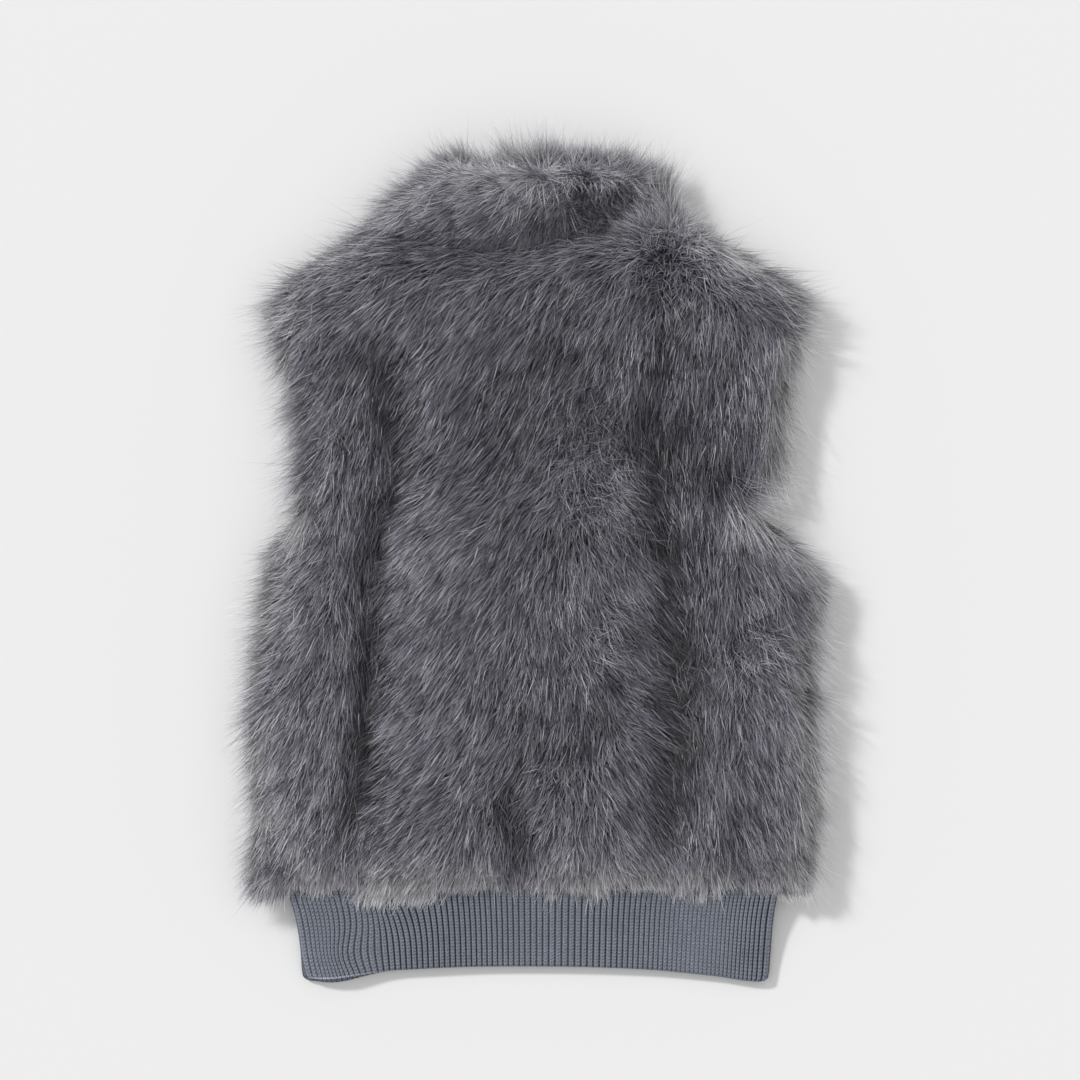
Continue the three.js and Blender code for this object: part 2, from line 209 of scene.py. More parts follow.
def half_width(up, column):
    """The backing's half width at a height, to the left (column 1) or the right (2)."""
    return along(OUTLINE, column, up) - along(PILE_PAST, column, up)


def panel_outline(front=False, past_neck=0.0):
    """The outline of the back's or the fronts' backing, in millimetres from the origin."""
    ups = np.linspace(0, NECK_UP - 6, 60)
    left = [(-half_width(up, 1), up) for up in ups]
    right = [(half_width(up, 2), up) for up in ups]
    neck = [(x, neck_up(x, front) + past_neck) for x in np.linspace(-TOP_HALF, TOP_HALF, 21)]
    points = np.array(right + neck[::-1] + left[::-1])
    points[:, 1] += WAIST
    return points


LOW, HIGH = (-262, -352), (262, 352)  # the charts reach a little past the whole garment
PAST_NECK = 12.0  # at the neck the pile stays high, as the collar's pile leans against it
back_edge = Chart(LOW, HIGH, lambda x, y: inside_by(panel_outline(past_neck=PAST_NECK), x, y))
print("back panel's backing:", int((back_edge.value > 0).sum() * Chart.step**2 / 100), "cm2")

# %% [markdown]
# The pile stands on a knitted backing, and its lower half is so dense that it looks solid. That
# solid half is the skin: it bulges from the backing to where single strands start to show. It
# sinks along the soft folds, and past the backing's edge it falls away, as the pile does.

# %% The skin's heights
UNDERFUR = 20.0  # depth of the solid half of the back's pile
UNDERFUR_ROUND = 34.0  # how far in from the backing's edge it is that deep
EDGE_FALL = 0.15  # how steeply the pile falls past the edge
LOWEST = 3.0  # height at which it stops falling


def fold_depth(x, up, wider=1.0):
    """How far the soft folds sink the pile at a place."""
    total = np.zeros(x.shape)
    for fold in FOLDS:
        nearest, here = np.full(x.shape, 1e9), np.zeros(x.shape)
        for (ax, ay, a_depth, a_width), (bx, by, b_depth, b_width) in zip(fold, fold[1:]):
            dx, dy = bx - ax, by - ay
            t = np.clip(((x - ax) * dx + (up - ay) * dy) / (dx * dx + dy * dy), 0, 1)
            away = np.hypot(x - ax - t * dx, up - ay - t * dy)
            depth, width = a_depth + (b_depth - a_depth) * t, a_width + (b_width - a_width) * t
            here = np.where(away < nearest, depth * bell(away, wider * width), here)
            nearest = np.minimum(away, nearest)
        total += here
    return total


def locks(x, up):
    """Low uneven swells, where the pile has gathered in clumps."""
    broad = np.sin(x / 19 + np.sin(up / 41)) * np.cos(up / 27 + x / 90)
    return 2 * broad + 1.2 * np.sin(x / 8.3 - up / 15)


def back_height(x, y):
    edge = back_edge.at(x, y)
    up = y - WAIST
    depth = UNDERFUR * rounded(edge, UNDERFUR_ROUND)
    relief = (locks(x, up) - fold_depth(x, up)) * rounded(edge, UNDERFUR_ROUND / 2)
    fall = EDGE_FALL * np.minimum(edge, 0)
    return np.maximum(BACKING + SEAM_GAP + np.maximum(depth + relief, 0.4 * depth) + fall, LOWEST)


back_skin_chart = Chart(LOW, HIGH, back_height)
print("the back's skin is", back_skin_chart.value.max().round(1), "mm high at most")

# %% [markdown]
# A stand collar is a strip of fur folded along its top edge and sewn round the neck. Laid flat
# it makes a roll. The roll's lower edge follows the neck seam on the left and climbs away from it
# on the right, where the strip's lower part shows as a step. Two hollows pinch the roll.

# %% The collar's heights
COLLAR_UNDERFUR = 29.0
COLLAR_ROUND = 30.0
COLLAR_SIDES = ((0, 131, 124), (0.3, 134, 117), (0.6, 123, 108), (0.85, 100, 92), (1, 76, 70))
COLLAR_TOP = ((-130, 532), (-110, 553), (-90, 566), (-70, 575), (-35, 574), (-10, 575), (20, 576),
              (50, 578), (66, 575), (82, 570), (98, 561), (112, 549), (125, 528))
ROLL_LOWER_EDGE = ((-145, 548), (-128, 540), (-112, 530), (-90, 518), (-60, 511), (-34, 513),
                   (3, 524), (25, 532), (47, 543), (66, 553), (84, 562), (105, 568), (125, 572))
STEP_DOWN = 13.0
# Hollows: across, up, depth, and how far they spread across and along
COLLAR_HOLLOWS = ((54, 552, 15, 22, 13), (-20, 520, 5, 80, 10))


def collar_top(x):
    return along(COLLAR_TOP, 1, x)


def collar_outline(past_seam=0.0):
    shares = np.linspace(0, 1, 20)

    def side(column, sign):
        points = []
        for share in shares:
            x = sign * along(COLLAR_SIDES, column, share)
            seam = neck_up(x) - past_seam
            points.append((x, seam + (collar_top(x) - seam) * share))
        return points

    left, right = side(1, -1), side(2, 1)
    top = [(x, collar_top(x)) for x in np.linspace(right[-1][0], left[-1][0], 16)[1:-1]]
    seam = [(x, neck_up(x) - past_seam) for x in np.linspace(left[0][0], right[0][0], 18)[1:-1]]
    points = np.array(right + top + left[::-1] + seam)
    points[:, 1] += WAIST
    return points


collar_edge = Chart(LOW, HIGH, lambda x, y: inside_by(collar_outline(past_seam=PAST_NECK), x, y))


def below_roll(x, up):
    """0 on the collar's roll and 1 on the step under it."""
    t = np.clip((along(ROLL_LOWER_EDGE, 1, x) - up) / 11 + 0.5, 0, 1)
    return t * t * (3 - 2 * t)


def collar_height(x, y):
    edge = collar_edge.at(x, y)
    up = y - WAIST
    hollow = sum(
        depth * bell(x - across, wide) * bell(up - high, tall)
        for across, high, depth, wide, tall in COLLAR_HOLLOWS
    )
    round_ = rounded(edge, COLLAR_ROUND)
    depth = (COLLAR_UNDERFUR + locks(x, up) - hollow - STEP_DOWN * below_roll(x, up)) * round_
    return np.maximum(BACKING + 1 + depth + EDGE_FALL * np.minimum(edge, 0), LOWEST)


collar_skin_chart = Chart(LOW, HIGH, collar_height)
print("the collar's skin is", collar_skin_chart.value.max().round(1), "mm high at most")

# %% [markdown]
# The way the pile lies is what the eye reads first. It is noted as a comb chart: at each height
# along the garment, a few places across it and the direction there in degrees, 0 to the right
# and 90 to the collar. Left of the middle the pile runs down and left, right of a parting it
# runs down and right, and it meets itself along the two long folds. On this chart, and in the
# tables of spots after it, places count from the garment's middle, as the charts' own do.

# %% The comb charts
BACK_COMB = (
    (256, ((-110, 182), (-70, 186), (-30, 190), (10, 193), (44, 176), (66, 146), (84, 120),
           (98, 92), (112, 66), (130, 28))),
    (242, ((-190, 178), (-150, 183), (-110, 188), (-78, 188), (-46, 187), (-10, 192), (20, 196),
           (50, 192), (78, 176), (96, 130), (112, 44), (126, 4), (142, -14), (164, -12),
           (190, -10))),
    (230, ((-60, 200), (0, 215), (40, 222), (76, 228), (94, 240), (106, 266), (118, -56),
           (132, -34), (154, -22))),
    (221, ((-222, 176), (-190, 186), (-150, 205), (-110, 222), (-70, 226), (-30, 228), (2, 236),
           (34, 238), (72, 240), (102, 252), (120, 262), (134, -64), (145, -30), (160, -12),
           (182, -10), (208, -8))),
    (205, ((-234, 180), (-206, 188), (-174, 206), (-110, 230), (-70, 233), (-30, 235), (18, 243),
           (50, 240), (82, 248), (114, 256), (132, 262), (150, -84), (163, -46), (176, -14),
           (204, -8), (230, -2))),
    (189, ((120, 258), (146, 266), (170, -86), (186, -54), (200, -16), (224, -6))),
    (175, ((-234, 188), (-214, 198), (-174, 226), (-142, 236), (-110, 235), (-70, 235), (-30, 238),
           (18, 245), (50, 245), (82, 258), (114, 262), (148, 266), (180, -82), (200, -62),
           (216, -28), (234, -12))),
    (157, ((-222, 198), (-190, 222), (-158, 240), (-126, 246), (-94, 235), (-46, 235), (2, 242),
           (50, 246), (82, 262), (114, 265), (146, 268), (178, -84), (200, -66), (224, -44))),
    (125, ((-206, 198), (-182, 218), (-150, 245), (-130, 262), (-100, 235), (-46, 238), (2, 245),
           (50, 252), (90, 260), (130, 266), (162, 272), (190, -75), (214, -52))),
    (93, ((-200, 196), (-176, 222), (-142, 255), (-126, 265), (-94, 228), (-46, 231), (2, 243),
          (34, 246), (58, 262), (90, 270), (130, 265), (162, -86), (186, -72), (210, -50))),
    (61, ((-200, 196), (-176, 224), (-146, 258), (-126, 262), (-94, 214), (-46, 215), (2, 228),
          (26, 240), (50, -35), (74, -45), (98, -70), (130, -94), (148, -62), (164, -22),
          (184, -12))),
    (29, ((-206, 218), (-174, 232), (-150, 260), (-126, 262), (-94, 213), (-46, 218), (2, 240),
          (24, 262), (54, -50), (74, -55), (98, -65), (122, -90), (148, -84), (168, -62),
          (186, -32))),
    (-3, ((-230, 198), (-206, 197), (-174, 222), (-150, 262), (-138, -88), (-110, 220), (-70, 230),
          (-30, 235), (10, 250), (32, -88), (52, -64), (98, -52), (122, -92), (146, -88),
          (174, -62), (198, -36), (224, -22))),
    (-35, ((-236, 192), (-206, 205), (-174, 232), (-150, 270), (-138, -82), (-110, 222), (-70, 232),
           (-30, 238), (-8, 252), (10, 266), (30, -72), (60, -42), (98, -48), (122, -92),
           (150, -84), (178, -70), (206, -48), (236, -20))),
    (-67, ((-234, 190), (-206, 212), (-174, 238), (-150, 262), (-138, -78), (-110, 225), (-70, 235),
           (-40, 240), (-14, 252), (4, 270), (24, -72), (58, -38), (98, -45), (122, -90),
           (146, -98), (166, -60), (182, -35), (206, -44), (234, -22))),
    (-99, ((-234, 198), (-206, 220), (-174, 242), (-150, 265), (-138, -80), (-110, 225), (-70, 238),
           (-30, 250), (0, 263), (22, -86), (44, -62), (70, -36), (94, -22), (118, -60),
           (130, -92), (150, -105), (178, -62), (206, -42), (234, -26))),
    (-131, ((-236, 218), (-206, 232), (-174, 252), (-150, 262), (-110, 218), (-70, 230), (-30, 240),
            (10, 250), (42, -88), (74, -38), (98, -35), (118, -80), (146, -90), (178, -72),
            (206, -50), (234, -30))),
    (-163, ((-236, 222), (-206, 236), (-174, 250), (-150, 264), (-120, 214), (-78, 222), (-38, 238),
            (2, 235), (26, -95), (58, -55), (90, -48), (118, -85), (146, -84), (178, -70),
            (206, -60), (230, -52))),
    (-195, ((-234, 226), (-206, 238), (-174, 248), (-150, 258), (-118, 211), (-78, 216), (-46, 250),
            (-22, -78), (2, 228), (34, -92), (66, -52), (98, -55), (126, -92), (150, -76),
            (178, -70), (206, -62), (230, -55))),
    (-227, ((-230, 232), (-206, 242), (-174, 250), (-142, 258), (-110, 225), (-78, 232),
            (-46, -95), (-14, -85), (18, -110), (42, -80), (74, -58), (106, -65), (130, -92),
            (162, -76), (194, -68), (222, -58))),
    (-255, ((-226, 236), (-190, 248), (-150, 258), (-110, 240), (-70, 248), (-30, -88), (10, -98),
            (50, -78), (90, -72), (130, -90), (170, -75), (210, -62))),
)
COLLAR_COMB = (
    (324, ((-84, 128), (-50, 112), (-14, 98), (20, 86), (50, 76), (80, 62))),
    (310, ((-112, 160), (-84, 150), (-50, 132), (-20, 118), (10, 98), (36, 84), (62, 66), (92, 50),
           (112, 38))),
    (296, ((-128, 172), (-100, 178), (-70, 184), (-40, 190), (-14, 205), (8, 222), (30, 240),
           (52, 290), (74, 30), (100, 40), (120, 36))),
    (283, ((-134, 184), (-104, 192), (-72, 200), (-40, 212), (-12, 228), (10, 242), (30, 256),
           (50, 280), (68, 20), (84, 96), (100, 80), (118, 44))),
    (270, ((-134, 190), (-100, 200), (-66, 212), (-36, 224), (-8, 240), (14, 252), (32, 256),
           (50, 190), (66, 152), (84, 122), (100, 92), (118, 58))),
    (258, ((-122, 194), (-86, 204), (-54, 216), (-22, 230), (4, 238), (24, 206), (44, 188),
           (66, 168), (84, 136), (98, 98), (116, 56), (132, 28))),
    (248, ((-90, 198), (-50, 210), (-14, 216), (20, 206), (52, 196), (78, 180), (96, 110),
           (114, 34))),
)


class Comb:
    """The pile's direction everywhere, worked out from the notes nearest to each place."""

    def __init__(self, table):
        notes = [(across, up, degrees) for up, row in table for across, degrees in row]

        def blend(turned):
            def work_out(x, y):
                total, weights = np.zeros(x.shape), np.zeros(x.shape)
                for note_x, note_y, degrees in notes:
                    weight = 1 / ((x - note_x) ** 2 + (y - note_y) ** 2 + 60) ** 2
                    total += weight * turned(math.radians(degrees))
                    weights += weight
                return total / weights

            return Chart(LOW, HIGH, work_out)

        self.cos, self.sin = blend(math.cos), blend(math.sin)
        size = np.hypot(self.cos.value, self.sin.value) + 1e-6
        spread = np.gradient(self.cos.value / size, Chart.step, axis=1)
        spread += np.gradient(self.sin.value / size, Chart.step, axis=0)
        self.parts = Chart(LOW, HIGH, lambda x, y: np.clip(spread, 0, 0.2))

    def turn(self, x, y):
        return np.arctan2(self.sin.at(x, y), self.cos.at(x, y))


back_comb, collar_comb = Comb(BACK_COMB), Comb(COLLAR_COMB)
print("comb charts hold", sum(len(row) for _, row in BACK_COMB + COLLAR_COMB), "directions")

# %% [markdown]
# In a few places the pile stands on end or turns in a whorl. There it looks darker and spiky,
# because the eye looks down into it. Elsewhere the strands are painted paler or darker, as painted
# light and shade on the pile's form.

# %% Spots where the pile stands up, and spots of painted light and shade
# Across, along, radius, and how unruly the pile is there
SPIKY = (
    (50, 100, 30, 0.7),
    (30, 50, 26, 0.5),
    (46, -55, 26, 0.4),
    (66, 28, 20, 0.4),
    (112, 245, 22, 0.85),
    (106, 224, 20, 0.5),
    (34, 276, 14, 0.6),
    (52, 286, 20, 1.0),
    (18, -168, 10, 0.8),
    (168, -70, 18, 0.7),
    (122, -88, 18, 0.4),
)
# Across, along, radius, and how much painted light makes the strands paler there, or painted shade
# darker
PAINTED_LIGHT_AND_SHADE = (
    (-94, 130, 22, -0.05),
    (-88, 20, 34, 0.16),
    (-88, -14, 24, 0.06),
    (-92, -60, 36, 0.08),
    (-94, -140, 32, 0.10),
    (-196, 22, 22, 0.20),
    (-213, -36, 22, 0.18),
    (-192, -34, 22, 0.08),
    (-220, -80, 30, 0.06),
    (-200, -160, 44, 0.10),
    (-192, -208, 26, 0.16),
    (-172, -234, 14, 0.12),
    (-212, -236, 14, -0.30),
    (-190, 190, 26, 0.18),
    (-194, 130, 16, 0.22),
    (-152, 158, 20, -0.18),
    (-150, 110, 20, -0.10),
    (-152, 34, 18, -0.10),
    (-132, 58, 12, -0.22),
    (-118, 124, 14, -0.26),
    (-118, 168, 14, -0.20),
    (-132, -48, 12, -0.14),
    (-136, -126, 14, -0.18),
    (-60, 190, 34, 0.04),
    (0, 198, 56, -0.09),
    (4, 120, 60, -0.10),
    (-20, 84, 40, -0.08),
    (-38, 150, 26, -0.10),
    (40, 156, 36, -0.08),
    (58, 112, 22, -0.16),
    (50, 76, 18, -0.08),
    (2, 18, 26, -0.16),
    (62, -34, 26, -0.10),
    (36, -130, 40, -0.12),
    (8, -142, 30, -0.10),
    (-18, -172, 14, -0.10),
    (0, -60, 40, -0.04),
    (92, -152, 18, -0.08),
    (96, 30, 18, -0.06),
    (56, 30, 30, -0.12),
    (80, 70, 16, -0.14),
    (112, -60, 24, -0.18),
    (98, -96, 16, -0.14),
    (106, -116, 20, -0.08),
    (102, -200, 14, -0.12),
    (104, -140, 14, -0.10),
    (96, 196, 16, 0.10),
    (100, 130, 18, 0.06),
    (122, 158, 24, -0.14),
    (116, 30, 14, -0.18),
    (120, 228, 26, 0.12),
    (176, 206, 30, -0.08),
    (150, 96, 30, -0.10),
    (172, 64, 26, -0.08),
    (172, 40, 16, -0.12),
    (140, 20, 18, -0.08),
    (124, 110, 20, -0.08),
    (112, 146, 16, 0.14),
    (106, 92, 16, 0.06),
    (100, 44, 14, 0.08),
    (168, 224, 22, -0.18),
    (174, 128, 22, -0.14),
    (184, 44, 18, -0.30),
    (166, 30, 16, -0.16),
    (192, 10, 20, -0.30),
    (178, 22, 14, -0.22),
    (206, -14, 16, -0.10),
    (-114, 176, 12, -0.10),
    (134, 176, 16, -0.08),
    (98, 150, 12, 0.08),
    (150, 222, 14, -0.06),
    (176, -46, 20, -0.10),
    (172, -64, 14, -0.08),
    (-208, -22, 18, 0.16),
    (-116, -258, 18, 0.14),
    (154, -262, 12, -0.10),
    (-172, 76, 18, -0.18),
    (-148, 102, 14, -0.08),
    (-134, 150, 12, 0.12),
    (-154, 176, 14, -0.12),
    (-120, 212, 20, 0.08),
    (-8, 228, 26, 0.10),
    (-6, 106, 20, -0.06),
    (56, 128, 14, -0.10),
    (44, 60, 14, 0.08),
    (-96, 6, 14, 0.08),
    (60, -54, 24, -0.08),
    (-96, -116, 16, 0.10),
    (-192, -136, 18, 0.10),
    (-134, -140, 10, -0.08),
    (-18, -186, 12, -0.10),
    (-134, -238, 18, 0.12),
    (-50, -238, 22, 0.08),
    (44, -238, 22, 0.08),
    (176, -20, 20, 0.10),
    (196, -110, 30, 0.08),
    (206, -200, 34, 0.08),
    (144, -190, 18, 0.10),
    (154, -210, 12, 0.10),
    (176, -240, 12, -0.10),
    (190, 184, 20, 0.12),
    (-86, 230, 18, -0.12),
    (-124, 300, 20, 0.06),
    (-106, 272, 16, -0.16),
    (-60, 316, 40, 0.08),
    (-8, 330, 34, 0.22),
    (60, 322, 20, 0.18),
    (86, 312, 16, 0.16),
    (104, 300, 24, 0.20),
    (4, 290, 24, -0.18),
    (34, 300, 14, -0.10),
    (56, 288, 24, -0.38),
    (34, 264, 16, -0.12),
    (82, 246, 16, 0.14),
    (122, 236, 14, -0.10),
    (176, -74, 14, 0.14),
    (162, -62, 10, -0.22),
    (-21, -190, 16, -0.12),
    (-10, -230, 14, -0.10),
    (146, -234, 12, -0.04),
)
HEM_TONE = 0.32  # how much paler the tufts over the waistband are
FRINGE_TONE = 0.46  # and the fringe that the light shines through


def spots(table, x, y):
    """What a table of spots adds up to at a place."""
    return sum(amount * bell(np.hypot(x - sx, y - sy), radius) for sx, sy, radius, amount in table)


# Places across, and how much longer or shorter the pile is there at the hem
HEM_LONGER = ((-240, -6), (-205, -8), (-180, -14), (-150, -8), (-128, 0), (-104, 5), (-84, 1),
              (-62, -12), (-34, -8), (0, -15), (40, -8), (80, -13), (120, -7), (160, -13),
              (200, -9), (240, -6))
# Across, along, radius, and how much further the pile reaches there
LONGER = (
    (-226, -90, 26, 12),
    (218, -110, 26, 9),
    (214, -170, 26, 6),
    (-186, 84, 22, 14),
    (-184, 124, 20, 12),
    (-200, 184, 24, 12),
    (196, 100, 22, 12),
    (160, 50, 18, 14),
    (180, 26, 18, 10),
    (200, 6, 16, 12),
    (-190, 216, 16, 12),
    (-204, -2, 12, -6),
    (-222, -256, 16, 16),
    (-205, -250, 12, 8),
    (190, 214, 22, 10),
    (214, 196, 16, 6),
    (212, -232, 18, 10),
)

# %% [markdown]
# Materials. Faux fur is acrylic or modacrylic fibre, dyed a cool grey. A strand is painted dark
# where it leaves the backing, which is painted shade, and pale at its tip, which is painted light
# coming through the fibre, and no two locks take the dye alike. The strand meshes carry that in
# their own map: its first number is the lock's tone with the painted light and shade of its place,
# and its second runs from root to tip. One function adds a node, and one turns hex colours to
# linear ones.

# %% Helpers for materials


def colour(hexa, alpha=1.0):
    channels = [int(hexa[i : i + 2], 16) / 255 for i in (1, 3, 5)]
    linear = [c / 12.92 if c <= 0.04045 else ((c + 0.055) / 1.055) ** 2.4 for c in channels]
    return (*linear, alpha)


def new_material(name):
    material = bpy.data.materials.new(name)
    material.use_nodes = True
    return material, material.node_tree, material.node_tree.nodes["Principled BSDF"]


def add(tree, kind, inputs=None, **settings):
    """Adds a node. An input is given a plain value, or the socket that is linked to it."""
    node = tree.nodes.new(kind)
    for key, value in settings.items():
        setattr(node, key, value)
    for key, value in (inputs or {}).items():
        if isinstance(value, bpy.types.NodeSocket):
            tree.links.new(value, node.inputs[key])
        else:
            node.inputs[key].default_value = value
    return node


def ramp_of(tree, value, stops):
    """A colour ramp over a value, with its stops given as (place, hex colour)."""
    ramp = add(tree, "ShaderNodeValToRGB", {"Fac": value})
    elements = ramp.color_ramp.elements
    while len(elements) < len(stops):
        elements.new(0.5)
    for element, (place, hexa) in zip(elements, stops):
        element.position = place
        element.color = colour(hexa)
    return ramp.outputs["Color"]


def remap(tree, value, low, high, start=0.0, end=1.0):
    """Carries the range from start to end over to the range from low to high."""
    ends = {"From Min": start, "From Max": end, "To Min": low, "To Max": high}
    return add(tree, "ShaderNodeMapRange", {"Value": value, **ends}).outputs["Result"]


def scaled(tree, base, by):
    """A colour made paler or darker by a number."""
    inputs = {0: base, "Scale": by}
    return add(tree, "ShaderNodeVectorMath", inputs, operation="SCALE").outputs["Vector"]


def grain(tree, size_mm, detail, roughness=0.5):
    """Noise in the piece's own space, with grains of about that many real millimetres."""
    place = add(tree, "ShaderNodeTexCoord").outputs["Object"]
    inputs = {"Vector": place, "Scale": 1 / (size_mm * MM), "Detail": detail}
    return add(tree, "ShaderNodeTexNoise", {**inputs, "Roughness": roughness}).outputs["Fac"]


def finish_cloth(tree, shader, base, height, strength, depth_mm):
    """Links a cloth's colour and the relief that is too fine for its mesh."""
    inputs = {"Height": height, "Strength": strength, "Distance": depth_mm * MM}
    bump = add(tree, "ShaderNodeBump", inputs)
    tree.links.new(base, shader.inputs["Base Color"])
    tree.links.new(bump.outputs["Normal"], shader.inputs["Normal"])


# %% Acrylic fur strands
FUR_MAP = "OFBake"  # tone, with its painted light and shade, across; root to tip upwards
# Root to tip: the near-black roots are painted shade, as hardly any light gets down to them, and
# the palest tips are painted light coming through the fibre
FUR_STOPS = (
    (0.0, "#17161a"),
    (0.28, "#3f3e47"),
    (0.6, "#73727d"),
    (0.88, "#95939a"),
    (1.0, "#b0aba6"),
)
DARKEST, PALEST = 0.1, 2.7  # what the ends of the tone scale, painted light and shade included, do to the dye
DYE_DEEP, DYE_THIN = 1.18, 0.2  # how much of its blue a strand keeps when dark and when pale


def acrylic_fur():
    """Dyed acrylic pile. The roots look black, as hardly any light gets down to them, and the
    palest tips show little of the blue dye, because there light comes through the fibre."""
    material, tree, shader = new_material("Dyed acrylic fur")
    place = add(tree, "ShaderNodeUVMap", uv_map=FUR_MAP)
    split = add(tree, "ShaderNodeSeparateXYZ", {"Vector": place.outputs["UV"]})
    tone_and_painted_light, root_to_tip = split.outputs["X"], split.outputs["Y"]
    # the ramp holds the dye, with painted shade at the roots and painted light at the tips
    dye_root_shade_tip_light = ramp_of(tree, root_to_tip, FUR_STOPS)
    toned_with_painted_light = scaled(tree, dye_root_shade_tip_light, remap(tree, tone_and_painted_light, DARKEST, PALEST))
    keep_dye = remap(tree, tone_and_painted_light, DYE_DEEP, DYE_THIN, start=0.48, end=0.86)
    paled = add(tree, "ShaderNodeHueSaturation", {"Color": toned_with_painted_light, "Saturation": keep_dye})
    tree.links.new(paled.outputs["Color"], shader.inputs["Base Color"])
    shader.inputs["Roughness"].default_value = 0.4
    shader.inputs["IOR"].default_value = 1.5
    shader.inputs["Specular IOR Level"].default_value = 0.5
    return material


fur = acrylic_fur()

# %% Knitted backing with dense underfur
# dark greys of painted shade, for the dark deep down in the pile
UNDERFUR_SHADE_STOPS = ((0.3, "#29282e"), (0.52, "#3c3b41"), (0.75, "#55545b"))


def underfur_material():
    """Short dense fibre with a grain a little over a millimetre. Its dark grey is painted shade,
    the shade deep down in the pile, and it only shows as the dark between the strands."""
    material, tree, shader = new_material("Dense acrylic underfur")
    fibre = grain(tree, size_mm=1.3, detail=3.0, roughness=0.7)
    finish_cloth(tree, shader, ramp_of(tree, fibre, UNDERFUR_SHADE_STOPS), fibre, 0.6, 0.8)
    shader.inputs["Roughness"].default_value = 0.9
    shader.inputs["Specular IOR Level"].default_value = 0.2
    return material


underfur = underfur_material()

# %% [markdown]
# The skins are cloth, so each starts as a flat grid whose points are moved to their heights and
# rides on the body, and the back's and the fronts' skins get a thin wall from a Solidify modifier.
# The grid's rows and columns follow the panel's own outline.

# %% Helpers for pieces


def lone(kind, name, **settings):
    """Adds one primitive with nothing else selected, and names it."""
    bpy.ops.object.select_all(action="DESELECT")
    kind(**settings)
    piece = bpy.context.object
    piece.name = piece.data.name = name
    return piece


def grid_piece(name, points, material):
    """A grid primitive whose points take the places in an array of rows, columns and x, y, z."""
    rows, columns, _ = points.shape
    cuts = {"x_subdivisions": columns - 1, "y_subdivisions": rows - 1}
    piece = lone(bpy.ops.mesh.primitive_grid_add, name, size=1, **cuts)
    piece.data.vertices.foreach_set("co", (points * MM).astype(np.float32).ravel())
    piece.data.update()
    bpy.ops.object.shade_smooth()
    piece.data.materials.append(material)
    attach(piece, "root")
    return piece


def edit_all(operator, **settings):
    """Runs one operator on the whole mesh of the active piece."""
    bpy.ops.object.mode_set(mode="EDIT")
    bpy.ops.mesh.select_all(action="SELECT")
    operator(**settings)
    bpy.ops.object.mode_set(mode="OBJECT")


def give_wall(piece, thickness):
    """Turns a surface into cloth of that thickness, on the side away from its face."""
    bpy.context.view_layer.objects.active = piece
    wall = piece.modifiers.new("wall", "SOLIDIFY")
    wall.thickness = thickness * MM
    wall.offset = -1
    bpy.ops.object.modifier_apply(modifier="wall")


def triangles(piece):
    piece.data.calc_loop_triangles()
    return len(piece.data.loop_triangles)


# %% [markdown]
# The back's skin runs from the waist seam to the neck. Its rows bend near the top so that the
# last one lies on the dipped neck seam.

# %% The back's skin
BACKING_WALL = 1.6


def shares_across(count):
    """Shares from -1 to 1 that lie closer together at both ends, where the skin turns down."""
    t = np.linspace(-1, 1, count)
    return 0.6 * t + 0.4 * np.sin(np.pi / 2 * t)


def panel_points(ups, shares, front=False):
    """Places of a panel's grid, with its rows going up and its columns going right."""
    up, s = np.meshgrid(ups, shares, indexing="ij")
    left, right = half_width(up, 1), half_width(up, 2)
    squeeze = np.clip((up - (NECK_UP - 30)) / 30, 0, 1) ** 2
    left, right = (side + (TOP_HALF - side) * squeeze for side in (left, right))
    x = s * np.where(s < 0, left, right)
    t = np.clip((up - (NECK_UP - 70)) / 70, 0, 1)
    bend = t * t * (3 - 2 * t)
    y = WAIST + up + bend * (neck_up(x, front) - NECK_UP)
    return x, y


x, y = panel_points(np.linspace(SEAM_GAP, NECK_UP, 96), shares_across(72))
z = back_skin_chart.at(x, y)
back_skin = grid_piece("back_skin", np.stack([x, y, z], -1), underfur)
give_wall(back_skin, BACKING_WALL)
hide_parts("back")
print("back_skin:", triangles(back_skin), "triangles")

# %% [markdown]
# The fronts lie underneath, backing up and pile down, edge to edge at the centre front. Each gets
# its own skin, rounded up at its edges and flat where it rests.

# %% The fronts' skins
FRONT_CLEAR = 4.5  # how far the fronts' skin stays above the surface, for the strands under it
FRONT_ROUND = 18.0
FRONT_TOP = BACKING - 1.2  # height of the fronts' backing
front_edge = Chart(LOW, HIGH, lambda x, y: inside_by(panel_outline(front=True), x, y))


def front_height(x, y):
    edge = np.minimum(front_edge.at(x, y), np.abs(x) + 6)
    return FRONT_TOP - (FRONT_TOP - FRONT_CLEAR) * rounded(edge, FRONT_ROUND)


front_skin_chart = Chart(LOW, HIGH, front_height)
for side, sign in (("left", -1), ("right", 1)):
    shares = np.sort(sign * np.linspace(0.001, 1, 36) ** 0.9)
    x, y = panel_points(np.linspace(SEAM_GAP, NECK_UP, 80), shares, front=True)
    z = front_skin_chart.at(x, y)
    skin = grid_piece(f"front_{side}_skin", np.stack([x, y, z], -1), underfur)
    edit_all(bpy.ops.mesh.flip_normals)
    give_wall(skin, BACKING_WALL)
    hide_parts(f"front_{side}")
    print(skin.name, triangles(skin), "triangles")

# %% [markdown]
# The collar's skin is a loop. Its columns go round the neck from the centre front, under the
# right side, across the back and round to the centre front again. Its rows go from the neck seam
# up the outside, over the folded edge and down the inside, as on the sewn strip.

# %% The collar's skin
COLLAR_UNDER = 4.5  # height of the under layer's outside above the surface
COLLAR_UNDER_TOP = BACKING - 3
COLLAR_UNDER_ROUND = 18.0
COLLAR_SLIT = 1.6  # half the space between the collar's two inner faces
INNER_NARROWER = 7.0  # how much less wide the inside of the loop is, on each side


def collar_under_height(x, y):
    swell = rounded(collar_edge.at(x, y), COLLAR_UNDER_ROUND)
    return COLLAR_UNDER_TOP - (COLLAR_UNDER_TOP - COLLAR_UNDER) * swell


